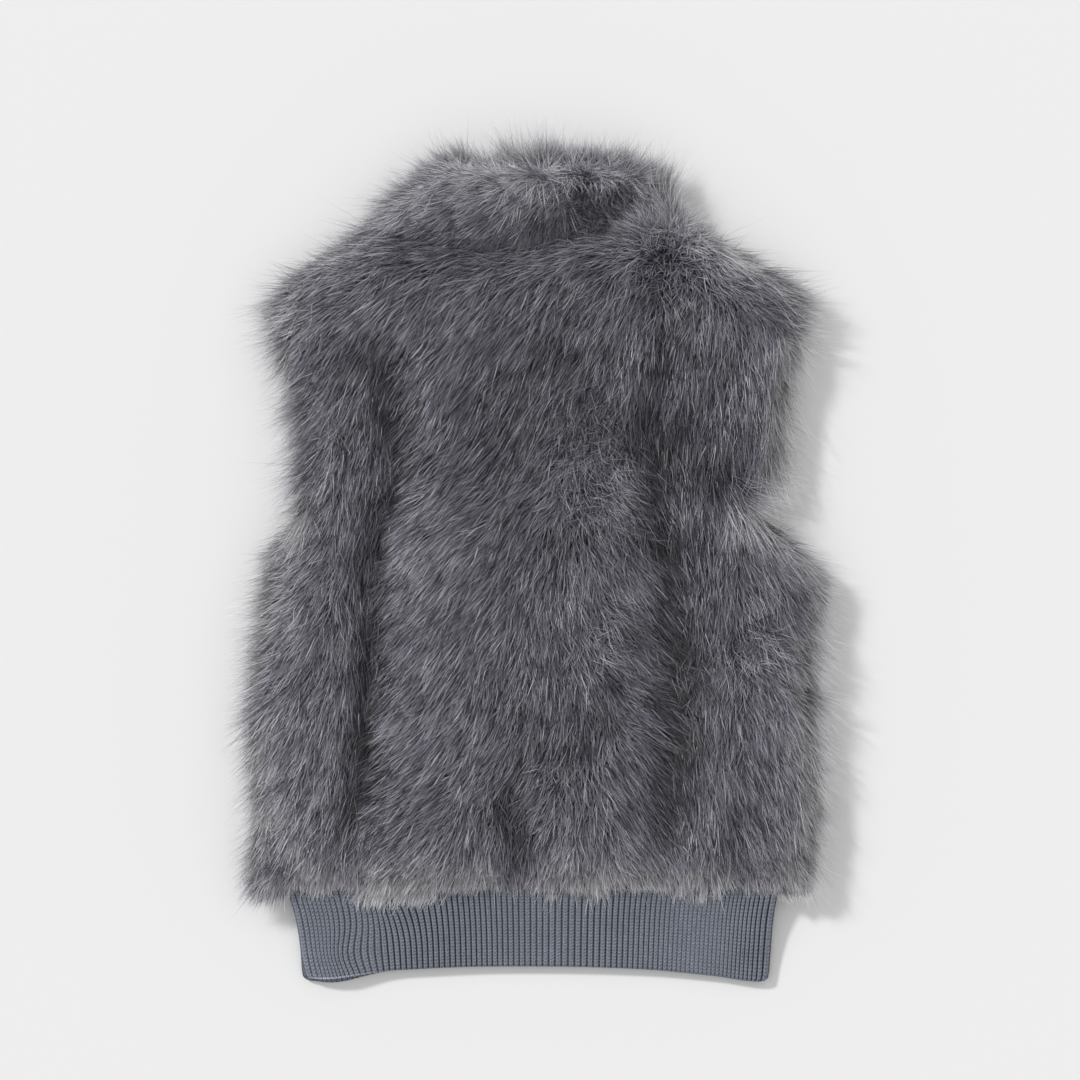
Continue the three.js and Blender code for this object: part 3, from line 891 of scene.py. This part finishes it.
def collar_skin_points():
    inner = shares_across(40)
    under_right = inner[inner > 0]
    places = (
        [(s, False) for s in np.concatenate([[0.002], under_right])]
        + [(s, True) for s in inner[::-1]]
        + [(s, False) for s in np.concatenate([-under_right[::-1], [-0.002]])]
    )
    outside = np.linspace(0, 1, 14)
    inside = np.linspace(0.97, 0.05, 8)
    rows = [(share, False) for share in outside] + [(share, True) for share in inside]
    points = np.zeros((len(rows), len(places), 3))
    for i, (share, is_inside) in enumerate(rows):
        for j, (s, on_top) in enumerate(places):
            column = 1 if s < 0 else 2
            narrower = INNER_NARROWER if is_inside else 0.0
            x = s * (along(COLLAR_SIDES, column, np.float64(share)) - narrower)
            seam = neck_up(x, not on_top)
            y = WAIST + seam + (collar_top(x) - seam) * share
            if is_inside:
                z = BACKING + (COLLAR_SLIT if on_top else -COLLAR_SLIT)
            elif on_top:
                z = max(collar_skin_chart.at(np.array(x), np.array(y)), BACKING + 3)
            else:
                above = (neck_up(x) - seam) * (1 - share)
                z = collar_under_height(np.array(x), np.array(y + above))
            points[i, j] = x, y, z
    return points


collar_skin = grid_piece("collar_skin", collar_skin_points(), underfur)
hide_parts("collar")
print("collar_skin:", triangles(collar_skin), "triangles")

# %% [markdown]
# Strands. Each is a narrow ribbon of three triangles that rises from the skin and bends over to
# lie along the comb. A ribbon costs a tenth of a round strand, and turned at random about its own
# length it shows from every side. Real fur gathers in locks, so each strand belongs to the
# nearest of many lock centres, shares its lock's turn, lift, curl and tone, and leans in to it
# towards the tip. All strands of a piece are worked out at once as arrays and joined in one mesh.

# %% How a strand grows
RINGS = np.array([0.0, 0.46, 1.0])  # places of a strand's points, root to tip
TAPER = np.array([0.8, 1.0, 0.0])  # its width at those places
PILE_LENGTH = 25.0
STRAND_WIDTH = 0.63
LOCK = 5.0  # from one lock's centre to the next
TUFT = 3.2  # and from one clump of locks to the next, in locks
HEM_DEEP = 26.0  # above the waist seam, where the pile lies over the waistband in tufts
FRINGE_DEEP = 16.0  # in from the backing's edge, where the pile stands out as a fringe
RIM_DEEP = 34.0  # in from the edge, where light still comes through the pile
PALE_FROM, PALE_TO = 60.0, 14.0  # heights over which the pile gets paler towards the hem
MIDDLE_TONE, TONE_SPREAD = 0.33, 0.19  # of the strands on the tone scale, from 0 to 1
LONG_PALER = 0.12  # how much higher on it the longest strand is than the shortest
FOLD_SHADE = 0.025  # painted shade: how much darker the pile is for each millimetre of a fold's depth
LIGHT_RUNS = math.radians(-39)  # strands of the fringe that point this way look palest
MOST_ACROSS = cad_box[1][0] / MM + 22  # how far out a strand may reach
MOST_ALONG = cad_box[1][1] / MM + 28


def lock_centres(x, y, pitch, seed):
    """The nearest lock centre to each strand, from a grid of centres shifted at random."""
    shift = np.random.default_rng(seed)
    columns, rows = (int((HIGH[k] - LOW[k]) / pitch) + 5 for k in (0, 1))
    jog = shift.uniform(-0.5, 0.5, (2, rows, columns))
    i, j = ((x - LOW[0]) / pitch).astype(int) + 2, ((y - LOW[1]) / pitch).astype(int) + 2
    best = np.full(x.shape, 1e9)
    found = np.zeros((3, len(x)))
    for di in (-1, 0, 1):
        for dj in (-1, 0, 1):
            a, b = i + di, j + dj
            cx = LOW[0] + (a - 1.5 + jog[0, b, a]) * pitch
            cy = LOW[1] + (b - 1.5 + jog[1, b, a]) * pitch
            away = np.hypot(x - cx, y - cy)
            near = away < best
            best = np.where(near, away, best)
            found = np.where(near, np.stack([cx, cy, b * columns + a]), found)
    return found[0], found[1], found[2].astype(int)


def noise_of(index, seed):
    """One random number from -1 to 1 for each lock, the same for all its strands."""
    table = np.random.default_rng(seed).uniform(-1, 1, index.max() + 1)
    return table[index]


def bend_over(lift, settle, reach):
    """How far ahead of its root and above it each point of a strand lies. The strand rises at
    one angle and settles towards another."""
    steps = np.linspace(0, 1, 25)
    angle = settle[:, None] + (lift - settle)[:, None] * (1 - steps) ** 2
    at = (RINGS * (len(steps) - 1)).astype(int)

    def summed(part):
        way = (np.cumsum(part(angle), 1) / len(steps))[:, at] * reach[:, None]
        return way - way[:, :1]

    return summed(np.cos), summed(np.sin)


def keep_near(px, py, long):
    """Shortens the strands at the widest places, so that their tips stay near the solids' box."""
    kept = np.ones(len(px))
    for place, limit in ((px, MOST_ACROSS), (py, MOST_ALONG)):
        root, tip = np.abs(place[:, 0]), np.abs(place[:, -1])
        limit = limit - 8 * long
        kept = np.where(tip > limit, np.minimum(kept, (limit - root) / (tip - root + 1e-6)), kept)
    kept = np.clip(kept, 0.1, 1)[:, None]
    return px[:, :1] + (px - px[:, :1]) * kept, py[:, :1] + (py - py[:, :1]) * kept


def grow(name, x, y, pelt, *, seed, length=PILE_LENGTH, lock=LOCK, below=False):
    """Strands rooted at x, y on a pelt. below turns them to the underside."""
    skin, edge, combing = pelt
    rng = np.random.default_rng(seed)
    count = len(x)

    # Each strand's lock and clump, and where on the garment it stands
    _, _, big = lock_centres(x, y, lock * TUFT, seed + 1)
    lock_x, lock_y, small = lock_centres(x, y, lock, seed + 2)
    wild = np.clip(spots(SPIKY, lock_x, lock_y) + 5 * combing.parts.at(lock_x, lock_y), 0, 1)
    at_hem = np.clip(1 - (y - WAIST) / HEM_DEEP, 0, 1)
    fringe = (1 - np.clip(edge.at(x, y) / FRINGE_DEEP, 0, 1)) * (1 - at_hem)
    rim = np.clip(1 - edge.at(x, y) / RIM_DEEP, 0, 1) * (1 - at_hem)

    # Its direction, with a few long whiskers in the fringe
    turn = combing.turn(lock_x, lock_y)
    turn = turn + np.radians(5 * noise_of(big, seed + 3) + 8 * noise_of(small, seed + 4))
    whisker = rng.uniform(0, 1, count) < 0.2 * fringe * (0.7 + 0.3 * np.cos(turn))
    astray = 8 + 60 * wild + 5 * fringe
    turn = turn + np.radians(astray * rng.normal(size=count))

    # Its length
    long = rng.uniform(0, 1, count)
    tufted = 0.12 + 0.2 * np.maximum(fringe, at_hem)
    reach = length * (1 + tufted * noise_of(big, seed + 5) + 0.14 * noise_of(small, seed + 6))
    reach = reach * (0.45 + 0.2 * at_hem + (0.85 - 0.4 * at_hem) * long) * (1 - 0.35 * wild)
    reach = reach * (1 + 0.35 * fringe - 0.25 * at_hem) * (1 + 0.4 * whisker)
    reach = reach + at_hem * along(HEM_LONGER, 1, lock_x)
    reach = reach + spots(LONGER, lock_x, lock_y) * (0.4 + 0.6 * long)

    # How it bends over, curls and leans in to its lock
    lift = np.radians(48 + 9 * noise_of(small, seed + 7) + 5 * rng.normal(size=count) + 26 * wild)
    settle = np.radians(-7 + 5 * noise_of(big, seed + 8) + 4 * rng.normal(size=count) + 34 * wild)
    curl = 1.6 * noise_of(small, seed + 9) + 1.1 * rng.normal(size=count)
    gather = np.clip(0.32 + 0.3 * noise_of(small, seed + 10), 0, 0.85) * (1 - 0.6 * fringe)
    gather = np.minimum(gather + 0.45 * at_hem, 0.85)
    ahead, rise = bend_over(lift, settle, reach)
    drawn = 1 - gather[:, None] * RINGS[None, :] ** 1.3
    bent = curl[:, None] * np.sin(np.pi * 0.85 * RINGS[None, :])
    cos, sin = np.cos(turn)[:, None], np.sin(turn)[:, None]
    px = lock_x[:, None] + (x - lock_x)[:, None] * drawn + ahead * cos - bent * sin
    py = lock_y[:, None] + (y - lock_y)[:, None] * drawn + ahead * sin + bent * cos
    px, py = keep_near(px, py, long)
    if below:
        pz = np.maximum(skin.at(px, py) - rise * 0.45 + 0.5, 0.6)
    else:
        pz = np.maximum(skin.at(px, py) + rise - 0.8, 1.0)

    # Its tone: paler over the hem, painted light where light comes through, painted shade down in
    # the folds, and the spots of painted light and shade
    tone_and_painted_light = MIDDLE_TONE + 0.05 * noise_of(big, seed + 11) + 0.07 * noise_of(small, seed + 12)
    tone_and_painted_light = tone_and_painted_light + TONE_SPREAD * rng.normal(size=count) + LONG_PALER * (long - 0.5)
    shade = fold_depth(lock_x, lock_y - WAIST, wider=1.25)
    # painted light and shade from the spots, and painted shade in the folds
    tone_and_painted_light = tone_and_painted_light + spots(PAINTED_LIGHT_AND_SHADE, lock_x, lock_y) - FOLD_SHADE * shade
    to_hem = np.clip((PALE_FROM - (lock_y - WAIST)) / (PALE_FROM - PALE_TO), 0, 1)
    to_hem = to_hem**2 * (3 - 2 * to_hem)
    tone_and_painted_light = tone_and_painted_light + HEM_TONE * to_hem * (0.8 + 0.35 * noise_of(big, seed + 14))
    lit_through = FRINGE_TONE * (0.8 + 1.1 * np.maximum(np.cos(turn - LIGHT_RUNS), 0))
    tone_and_painted_light = tone_and_painted_light + lit_through * (0.5 * rim + 0.9 * fringe)

    # Its width, and how it is turned about its own length
    twist = np.radians(38 * noise_of(small, seed + 13) + rng.uniform(-42, 42, count))
    wide = STRAND_WIDTH * rng.uniform(0.7, 1.3, count) * (1.2 - 0.4 * long) * (1 - 0.45 * fringe)
    wide = wide * (1 - 0.3 * whisker) * (1 + 0.6 * at_hem)
    return ribbons(name, np.stack([px, py, pz], -1), wide, twist, np.clip(tone_and_painted_light, 0.03, 0.97))


# %% How ribbons become one mesh


HALF_ON_MAP = 0.004  # a strand is this wide on the map, to either side of its tone


def ribbons(name, points, width, twist, tone_and_painted_light):
    """Joins ribbons of one square and a tip each, along rows of three points."""
    count = len(points)
    tangent = np.gradient(points, axis=1)
    tangent /= np.linalg.norm(tangent, axis=2, keepdims=True) + 1e-9
    flat = np.cross(tangent, (0, 0, 1.0))
    flat /= np.linalg.norm(flat, axis=2, keepdims=True) + 1e-9
    upright = np.cross(flat, tangent)
    side = flat * np.cos(twist)[:, None, None] + upright * np.sin(twist)[:, None, None]
    half = side * (width[:, None] * TAPER[None, :] / 2)[:, :, None]
    pairs = np.stack([points - half, points + half], 2)[:, :-1].reshape(count, -1, 3)
    verts = np.concatenate([pairs, points[:, -1:]], 1)
    verts[..., 2] = np.maximum(verts[..., 2], 0.3)

    pattern = np.array([0, 1, 3, 2, 2, 3, 4])  # the square's corners and then the tip's
    loops = (pattern[None, :] + (np.arange(count) * 5)[:, None]).ravel()
    starts = (np.array([0, 4])[None, :] + (np.arange(count) * len(pattern))[:, None]).ravel()

    mesh = bpy.data.meshes.new(name)
    mesh.vertices.add(count * 5)
    mesh.vertices.foreach_set("co", (verts * MM).astype(np.float32).ravel())
    mesh.loops.add(len(loops))
    mesh.loops.foreach_set("vertex_index", loops.astype(np.int32))
    mesh.polygons.add(len(starts))
    mesh.polygons.foreach_set("loop_start", starts.astype(np.int32))
    mesh.polygons.foreach_set("use_smooth", np.ones(len(starts), bool))
    mesh.update(calc_edges=True)
    mesh.validate()

    across = HALF_ON_MAP * np.array([-1, 1, -1, 1, 0])
    up = np.append(np.repeat(RINGS[:-1], 2), 1.0)
    u = (tone_and_painted_light[:, None] + across[None, :])[:, pattern]
    v = np.broadcast_to(up[pattern], u.shape)
    layer = mesh.uv_layers.new(name=FUR_MAP)
    layer.data.foreach_set("uv", np.stack([u, v], -1).astype(np.float32).ravel())

    piece = bpy.data.objects.new(name, mesh)
    bpy.context.scene.collection.objects.link(piece)
    mesh.materials.append(fur)
    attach(piece, "root")
    print(name, count, "strands,", triangles(piece), "triangles")
    return piece


# %% [markdown]
# Roots are scattered evenly over a skin. Where it slopes at an edge, more of them fall on each
# square of the chart, since there is more skin above it.

# %% Scattering roots


def everywhere(x, y):
    return np.ones(x.shape, bool)


def scatter(count, pelt, seed, keep=everywhere):
    skin, edge, _ = pelt
    rng = np.random.default_rng(seed)
    slope_y, slope_x = np.gradient(skin.value, Chart.step)
    steep = Chart(LOW, HIGH, lambda x, y: np.sqrt(1 + slope_x**2 + slope_y**2))
    found = np.zeros((0, 2))
    while len(found) < count:
        x = rng.uniform(LOW[0], HIGH[0], 4 * count)
        y = rng.uniform(LOW[1], HIGH[1], 4 * count)
        room = (edge.at(x, y) > 0) & keep(x, y)
        room &= rng.uniform(0, 2.2, len(x)) < np.minimum(steep.at(x, y), 2.2)
        found = np.concatenate([found, np.stack([x[room], y[room]], 1)])
    return found[:count, 0], found[:count, 1]


# %% [markdown]
# A pelt is what the strands of a panel have to know: the skin's heights, how far in from the edge
# a place lies, and the comb. The back's strands are split in three pieces from left to right,
# since one piece would be too heavy.

# %% The back's fur
BACK_STRANDS = 192000
back_pelt = (back_skin_chart, back_edge, back_comb)

x, y = scatter(BACK_STRANDS, back_pelt, seed=11, keep=lambda x, y: y < WAIST + neck_up(x) + 3)
third = np.digitize(x, np.quantile(x, [1 / 3, 2 / 3]))
back_fur = [
    grow(f"back_fur_{part}", x[third == number], y[third == number], back_pelt, seed=20)
    for number, part in enumerate(("left", "middle", "right"))
]

# %% [markdown]
# At the hem the pile is brushed down over the waistband in dense pale tufts. It takes more strands
# than the even scatter has, so they get a piece of their own.

# %% The hem's tufts
HEM_STRANDS = 15000
HEM_ROOTS = 20.0  # how far above the waist seam they start

x, y = scatter(HEM_STRANDS, back_pelt, seed=15, keep=lambda x, y: y < WAIST + HEM_ROOTS)
back_fur.append(grow("hem_fur", x, y, back_pelt, lock=8.0, seed=31))

# %% [markdown]
# The collar's fur covers the roll and the step under it, and starts at the neck seam.

# %% The collar's fur
COLLAR_STRANDS = 44000
collar_pelt = (collar_skin_chart, collar_edge, collar_comb)

x, y = scatter(COLLAR_STRANDS, collar_pelt, seed=12, keep=lambda x, y: y > WAIST + neck_up(x) - 2)
collar_fur = grow("collar_fur", x, y, collar_pelt, seed=50)

# %% [markdown]
# The fronts' pile lies under the vest and shows only as a fringe at the sides and from below. It
# runs down and outwards.

# %% The fronts' fur
FRONT_STRANDS = 14000
FRONT_COMB = (
    (240, ((-200, 190), (-120, 215), (-40, 245), (40, 295), (120, 325), (200, 350))),
    (100, ((-200, 215), (-100, 240), (0, 270), (100, 300), (200, 325))),
    (-100, ((-220, 222), (-100, 245), (0, 270), (100, 295), (220, 318))),
    (-260, ((-220, 230), (-100, 250), (0, 270), (100, 290), (220, 310))),
)
front_pelt = (front_skin_chart, front_edge, Comb(FRONT_COMB))

for side, sign in (("left", -1), ("right", 1)):
    x, y = scatter(FRONT_STRANDS, front_pelt, seed=13, keep=lambda x, y: sign * x > 1.5)
    grow(f"front_{side}_fur", x, y, front_pelt, below=True, seed=70)

# %% [markdown]
# The collar's under layer has its own short fringe, which rests on the surface.

# %% The collar's under fur
UNDER_STRANDS = 8000
UNDER_LENGTH = 0.6 * PILE_LENGTH
UNDER_COMB = (
    (320, ((-90, 130), (-40, 110), (20, 86), (80, 56))),
    (280, ((-130, 180), (-60, 130), (0, 95), (60, 60), (120, 20))),
    (250, ((-130, 190), (-60, 150), (0, 90), (60, 40), (120, -5))),
)
under_pelt = (Chart(LOW, HIGH, collar_under_height), collar_edge, Comb(UNDER_COMB))

x, y = scatter(UNDER_STRANDS, collar_pelt, seed=14)
collar_under_fur = grow(
    "collar_under_fur", x, y, under_pelt, length=UNDER_LENGTH, below=True, seed=90
)

# %% [markdown]
# The waistband is one strip of rib knit, doubled over at the hem, that runs round the waist and
# is open at the centre front like the fronts above it. Laid flat, its two layers come down from
# between the fur panels to the surface. Each rib is two columns of stitches with a deep furrow to
# the next rib, so its section is worked out from the rib count and repeated.

# %% The waistband's sizes
BAND_DEPTH = 66.0
BAND_WALL = 3.2  # one layer, out to its furrows
BAND_HEM_GAP = 1.5  # between its two layers, at the hem
RIBS = 90
RIB_HEIGHT = 1.3
STITCH_MM = 2.53  # height of one stitch
HEM_PEEK = 3.9  # how far the under layer's hem shows past the upper one at the left corner
PEEK_AT, PEEK_WIDE = -160.0, 28.0
PEEK_LIFT = 4.5  # how far the upper layer stands off there
CORNER = 5.0  # radius of the hem's corners
CORNER_FROM = 0.92  # share of the depth at which they start
HEM_FOLD = 0.035  # share of the depth over which the band turns at the hem
# Its half widths, to the left and right, at shares of the way to the hem
BAND_SIDES = ((0, 202, 194), (0.35, 194.5, 189.5), (0.6, 191.5, 188), (1, 189.5, 186))
# How much further down than in its middle the hem hangs, at places across
HEM_DROP = ((-190, 9.6), (-166, 9.6), (-142, 6.4), (-118, 3.4), (-94, 2), (-70, 0.8), (0, 0),
            (50, 0.8), (98, 3.2), (122, 5.6), (146, 8.2), (170, 11.8), (190, 12.5))
# Where the upper layer's furrows lie, counted from the left, as shares of its half width
RIB_PLACES = ((0, -1), (2, -0.964), (8, -0.855), (14, -0.708), (28, -0.376), (46, 0.049),
              (51, 0.19), (56, 0.323), (65, 0.528), (75, 0.725), (88, 0.96), (RIBS, 1))
# Sideways bends: across and its spread, share of the depth and its spread, and how far they go
RIB_BENDS = ((-146, 20, 0.76, 0.24, -6), (-110, 20, 0, 0.4, -8), (-170, 26, 1, 0.2, 4))
# Places across with their spreads, and how much the ribs are pulled flat or drawn in there
RIB_PULLS = ((-176, 22, 0.65), (-136, 14, 0.4), (-90, 30, -0.25), (0, 50, 0.3), (78, 22, 0.1),
             (128, 34, 0.75), (182, 12, -0.3))
RIB_PROFILE = (  # places across one rib, and heights as shares of the rib's height
    (0.0, 0.0),
    (0.13, 0.55),
    (0.3, 1.0),
    (0.5, 0.78),
    (0.7, 1.0),
    (0.87, 0.55),
)


def band_middle(share):
    """The height between its two layers, which sinks from the panels' backing to the surface."""
    at_hem = BAND_WALL + BAND_HEM_GAP / 2
    return at_hem + (BACKING - at_hem) * (1 - share) ** 1.6


def band_half_gap(share):
    """Half the space between its two layers."""
    return (SEAM_GAP + (BAND_HEM_GAP - SEAM_GAP) * share) / 2


# %% The waistband's points


def pulled_flat(x):
    """How much the ribs are pulled flat at a place across, or drawn in if it is negative."""
    return np.clip(sum(much * bell(x - at, wide) for at, wide, much in RIB_PULLS), -0.3, 0.8)


def band_columns():
    """Columns round the band: a share across, which layer, and the rib's height there."""

    def layer(profile, on_top, height):
        return [
            (2 * (rib + place) / RIBS - 1, on_top, height * crest)
            for rib in range(RIBS)
            for place, crest in profile
        ]

    top = layer(RIB_PROFILE, True, 1.0) + [(1.0, True, 0.0)]
    under = layer(RIB_PROFILE[::2], False, 0.5)
    right = [c for c in under if c[0] > 0]
    left = [c for c in under if c[0] < 0]
    start, end = (0.0008, False, 0.0), (-0.0008, False, 0.0)
    return [start] + right + top[::-1] + left + [end]


def band_point(s, on_top, crest, share, inside):
    """One point of the band's wall, outside or inside, at a share of the way to the hem."""
    fold = np.sqrt(np.clip((1 - share) / HEM_FOLD, 0, 1))
    half, wall = band_half_gap(share), (0 if inside else BAND_WALL * (0.5 + 0.5 * fold))
    if inside:
        half = half + BAND_WALL * 0.5 * (1 - fold)
    width = along(BAND_SIDES, 1 if s < 0 else 2, np.float64(share)) - BAND_WALL
    x = s * width
    if on_top:
        x = along(RIB_PLACES, 1, np.float64((s + 1) * RIBS / 2)) * width
        x += sum(move * bell(x - at, wide) * bell(share - deep, tall)
                 for at, wide, deep, tall, move in RIB_BENDS)
    corner = np.clip((share - CORNER_FROM) / (1 - CORNER_FROM), 0, 1)
    x -= np.sign(s) * abs(s) ** 30 * CORNER * (1 - math.sqrt(1 - corner**2))
    x = x + np.sign(s) * abs(s) ** 40 * wall
    peek = bell(x - PEEK_AT, PEEK_WIDE)
    depth = BAND_DEPTH + along(HEM_DROP, 1, x) + (0 if on_top else HEM_PEEK * peek)
    turn = math.sqrt(1 - 0.95 * abs(s) ** 40)
    height = RIB_HEIGHT * (1 - pulled_flat(x))
    raised = 0 if inside else height * crest * (0.35 + 0.65 * fold)
    away = (half + wall) * turn + raised
    z = band_middle(share) + (away + PEEK_LIFT * peek * share**4 if on_top else -away)
    return x, WAIST - SEAM_GAP - depth * share, max(z, 0.25)


# %% [markdown]
# The rows go down the outside to the hem, round it, and up the inside, so the band is one wall
# like the doubled strip. Its two ends lie edge to edge at the centre front, on the underside.

# %% The waistband's mesh
rows = [(share, False) for share in (*np.linspace(0, 0.96, 14), 0.975, 0.985, 0.993, 1.0)]
rows += [(share, True) for share in (0.993, 0.975, 0.7, 0.35, 0.0)]
columns = band_columns()
points = np.array([[band_point(*column, *row) for column in columns] for row in rows])
print("the band has", len(rows), "rows of", len(columns), "points")

# %% [markdown]
# The knit's colours follow a map that counts ribs across and stitches along. Single stitches are
# too many for the mesh, so they are drawn in the material, on ribs that are real.

# %% The rib knit
# Colours from the furrow to the middle of a rib. The dark at the furrows is painted shade, near
# black where the knit is drawn in and lighter where it is pulled flat
DRAWN_IN = ((0.0, "#12151b"), (0.1, "#40454e"), (0.24, "#7e838e"), (0.5, "#6c727d"))
FLAT = ((0.0, "#4c515b"), (0.16, "#6e737f"), (0.3, "#7e838e"), (0.5, "#70757f"))
YARN_MM, PATCH_MM = 0.9, 24.0  # the yarn's own grain, and broad uneven patches of it


def both_sides(stops):
    """Mirrors half a rib's colours, so that they run from one furrow to the next."""
    return stops + tuple((1 - place, hexa) for place, hexa in stops[-2::-1])


def rib_knit():
    """Rib in a worsted yarn, blue-grey. Each rib is two columns of slanting stitches, which show
    as paler grains, and the furrows between the ribs are painted with shade, nearly black where the
    knit is drawn in.
    One attribute says where the ribs are pulled flat. The other paints a highlight where the turned
    edge catches the light, and paints shade in the slit under it."""
    material, tree, shader = new_material("Rib knit in worsted yarn")

    def math_of(operation, first, second=0.5):
        return add(tree, "ShaderNodeMath", {0: first, 1: second}, operation=operation).outputs[0]

    place = add(tree, "ShaderNodeUVMap", uv_map="Knit")
    split = add(tree, "ShaderNodeSeparateXYZ", {"Vector": place.outputs["UV"]})
    rib = math_of("FRACT", split.outputs["X"])
    # the ramps paint shade into the furrows, less of it where the ribs are pulled flat
    drawn_in, flat = (ramp_of(tree, rib, both_sides(stops)) for stops in (DRAWN_IN, FLAT))
    pulled = add(tree, "ShaderNodeAttribute", attribute_name="PulledFlat").outputs["Fac"]
    mixed = {"Factor": pulled, "A": drawn_in, "B": flat}
    yarn = add(tree, "ShaderNodeMix", mixed, data_type="RGBA").outputs["Result"]

    slant = math_of("MULTIPLY", math_of("ABSOLUTE", math_of("SUBTRACT", rib)), 1.2)
    along_column = math_of("MULTIPLY", math_of("ADD", split.outputs["Y"], slant), 2 * math.pi)
    wave = math_of("SINE", along_column)
    fuzz, patch = grain(tree, YARN_MM, 2.0), grain(tree, PATCH_MM, 2.0)
    # painted highlight on the turned edge and painted shade in the slit under it, from an attribute
    turned = add(tree, "ShaderNodeAttribute", attribute_name="EdgeHighlightSlitShade").outputs["Fac"]
    brightness = remap(tree, wave, 0.85, 1.24, start=-1.0)
    for factor in (
        remap(tree, fuzz, 0.1, 1.95),
        remap(tree, patch, 0.85, 1.15),
        math_of("ADD", turned, 1.0),
    ):
        brightness = math_of("MULTIPLY", brightness, factor)
    height = math_of("ADD", wave, math_of("MULTIPLY", fuzz, 2.0))
    finish_cloth(tree, shader, scaled(tree, yarn, brightness), height, 0.8, 0.3)
    shader.inputs["Roughness"].default_value = 0.85
    shader.inputs["Specular IOR Level"].default_value = 0.25
    shader.inputs["Sheen Weight"].default_value = 0.15
    return material


# %% The waistband
waistband_knit = grid_piece("waistband_knit", points, rib_knit())
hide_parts("waistband")


EDGE_HIGHLIGHT, SLIT_SHADE = 1.6, 0.85  # painted highlight at the turned edge, and painted shade in the slit under it


def knit_map(piece, columns, rows):
    """A map that counts ribs across and stitches along, for the knit's pattern."""
    ribs = np.array([(column[0] + 1) * RIBS / 2 + (0 if column[1] else 1000) for column in columns])
    steps = [0] + [abs(b[0] - a[0]) * BAND_DEPTH for a, b in zip(rows, rows[1:])]
    downs = np.cumsum(steps) / STITCH_MM
    index = np.empty(len(piece.data.loops), np.int32)
    piece.data.loops.foreach_get("vertex_index", index)
    across, down = index % len(columns), index // len(columns)
    piece.data.uv_layers.remove(piece.data.uv_layers[0])
    layer = piece.data.uv_layers.new(name="Knit")
    places = np.stack([ribs[across], downs[down]], -1)
    layer.data.foreach_set("uv", places.astype(np.float32).ravel())

    def note(name, value):
        attribute = piece.data.attributes.new(name, "FLOAT", "POINT")
        attribute.data.foreach_set("value", value.astype(np.float32).ravel())

    shares = np.array([share if not is_inside else 0 for share, is_inside in rows])[:, None]
    on_top = np.array([column[1] for column in columns])[None, :]
    peek = bell(points[..., 0] - PEEK_AT, PEEK_WIDE)
    # a painted highlight along the upper layer's turned edge, and painted shade on the under
    # layer's strip in the slit
    turned = peek * np.where(on_top, EDGE_HIGHLIGHT * (shares > 0.98), -SLIT_SHADE * (shares > 0.9))
    note("PulledFlat", pulled_flat(points[..., 0]))
    note("EdgeHighlightSlitShade", turned)


knit_map(waistband_knit, columns, rows)
edit_all(bpy.ops.mesh.normals_make_consistent, inside=False)
print("waistband_knit:", triangles(waistband_knit), "triangles, ribs", RIBS)

# %% [markdown]
# The skins are cut to the panels' widths and lengths. The back's backing outline is worked out
# once more here.

# %% The back's outline


panel = panel_outline()

# %% [markdown]
# The stage is a pale seamless surface. A soft key comes from the upper left, low enough to throw a
# short shadow to the lower right, and a pale world fills the rest.

# %% Surface, light and camera
PALE = "#ededed"
KEY_STRENGTH = 2.05
KEY_ANGLE = 7.0  # degrees that the key's soft box spans, seen from the vest
KEY_FROM = (-1.55, 1.26, 1.3)
FILL = 0.66
PX = 0.8  # millimetres to a pixel of the photograph, halfway up the garment
FRAME_PX = 1080
HALF_UP = 25.0
CAMERA_AWAY = 3.2  # metres
CENTRE_PX = (537.5, 557.2)  # where the garment's middle lies in the photograph's frame

floor = lone(bpy.ops.mesh.primitive_plane_add, "surface", size=12)
surface, tree, shader = new_material("Pale matt surface")
shader.inputs["Base Color"].default_value = colour(PALE)
shader.inputs["Roughness"].default_value = 0.9
shader.inputs["Specular IOR Level"].default_value = 0.1
floor.data.materials.append(surface)

key = bpy.data.lights.new("key", "SUN")
key.energy, key.angle = KEY_STRENGTH, math.radians(KEY_ANGLE)
key_object = bpy.data.objects.new("key", key)
bpy.context.scene.collection.objects.link(key_object)
key_object.location = KEY_FROM
key_object.rotation_euler = (-key_object.location).to_track_quat("-Z", "Y").to_euler()

world = bpy.data.worlds.new("pale room")
bpy.context.scene.world = world
world.use_nodes = True
world.node_tree.nodes["Background"].inputs["Color"].default_value = (1, 1, 1, 1)
world.node_tree.nodes["Background"].inputs["Strength"].default_value = FILL

lens = bpy.data.cameras.new("camera")
camera = bpy.data.objects.new("camera", lens)
bpy.context.scene.collection.objects.link(camera)
offset_x = (FRAME_PX / 2 - CENTRE_PX[0]) * PX * MM
offset_y = (CENTRE_PX[1] - FRAME_PX / 2) * PX * MM
camera.location = (offset_x, offset_y, CAMERA_AWAY + HALF_UP * MM)
lens.sensor_width = 36.0
lens.lens = lens.sensor_width * CAMERA_AWAY / (FRAME_PX * PX * MM)
lens.clip_end = 50.0
bpy.context.scene.camera = camera
bpy.context.scene.view_settings.view_transform = "Standard"
print("lens", round(lens.lens, 1), "mm")
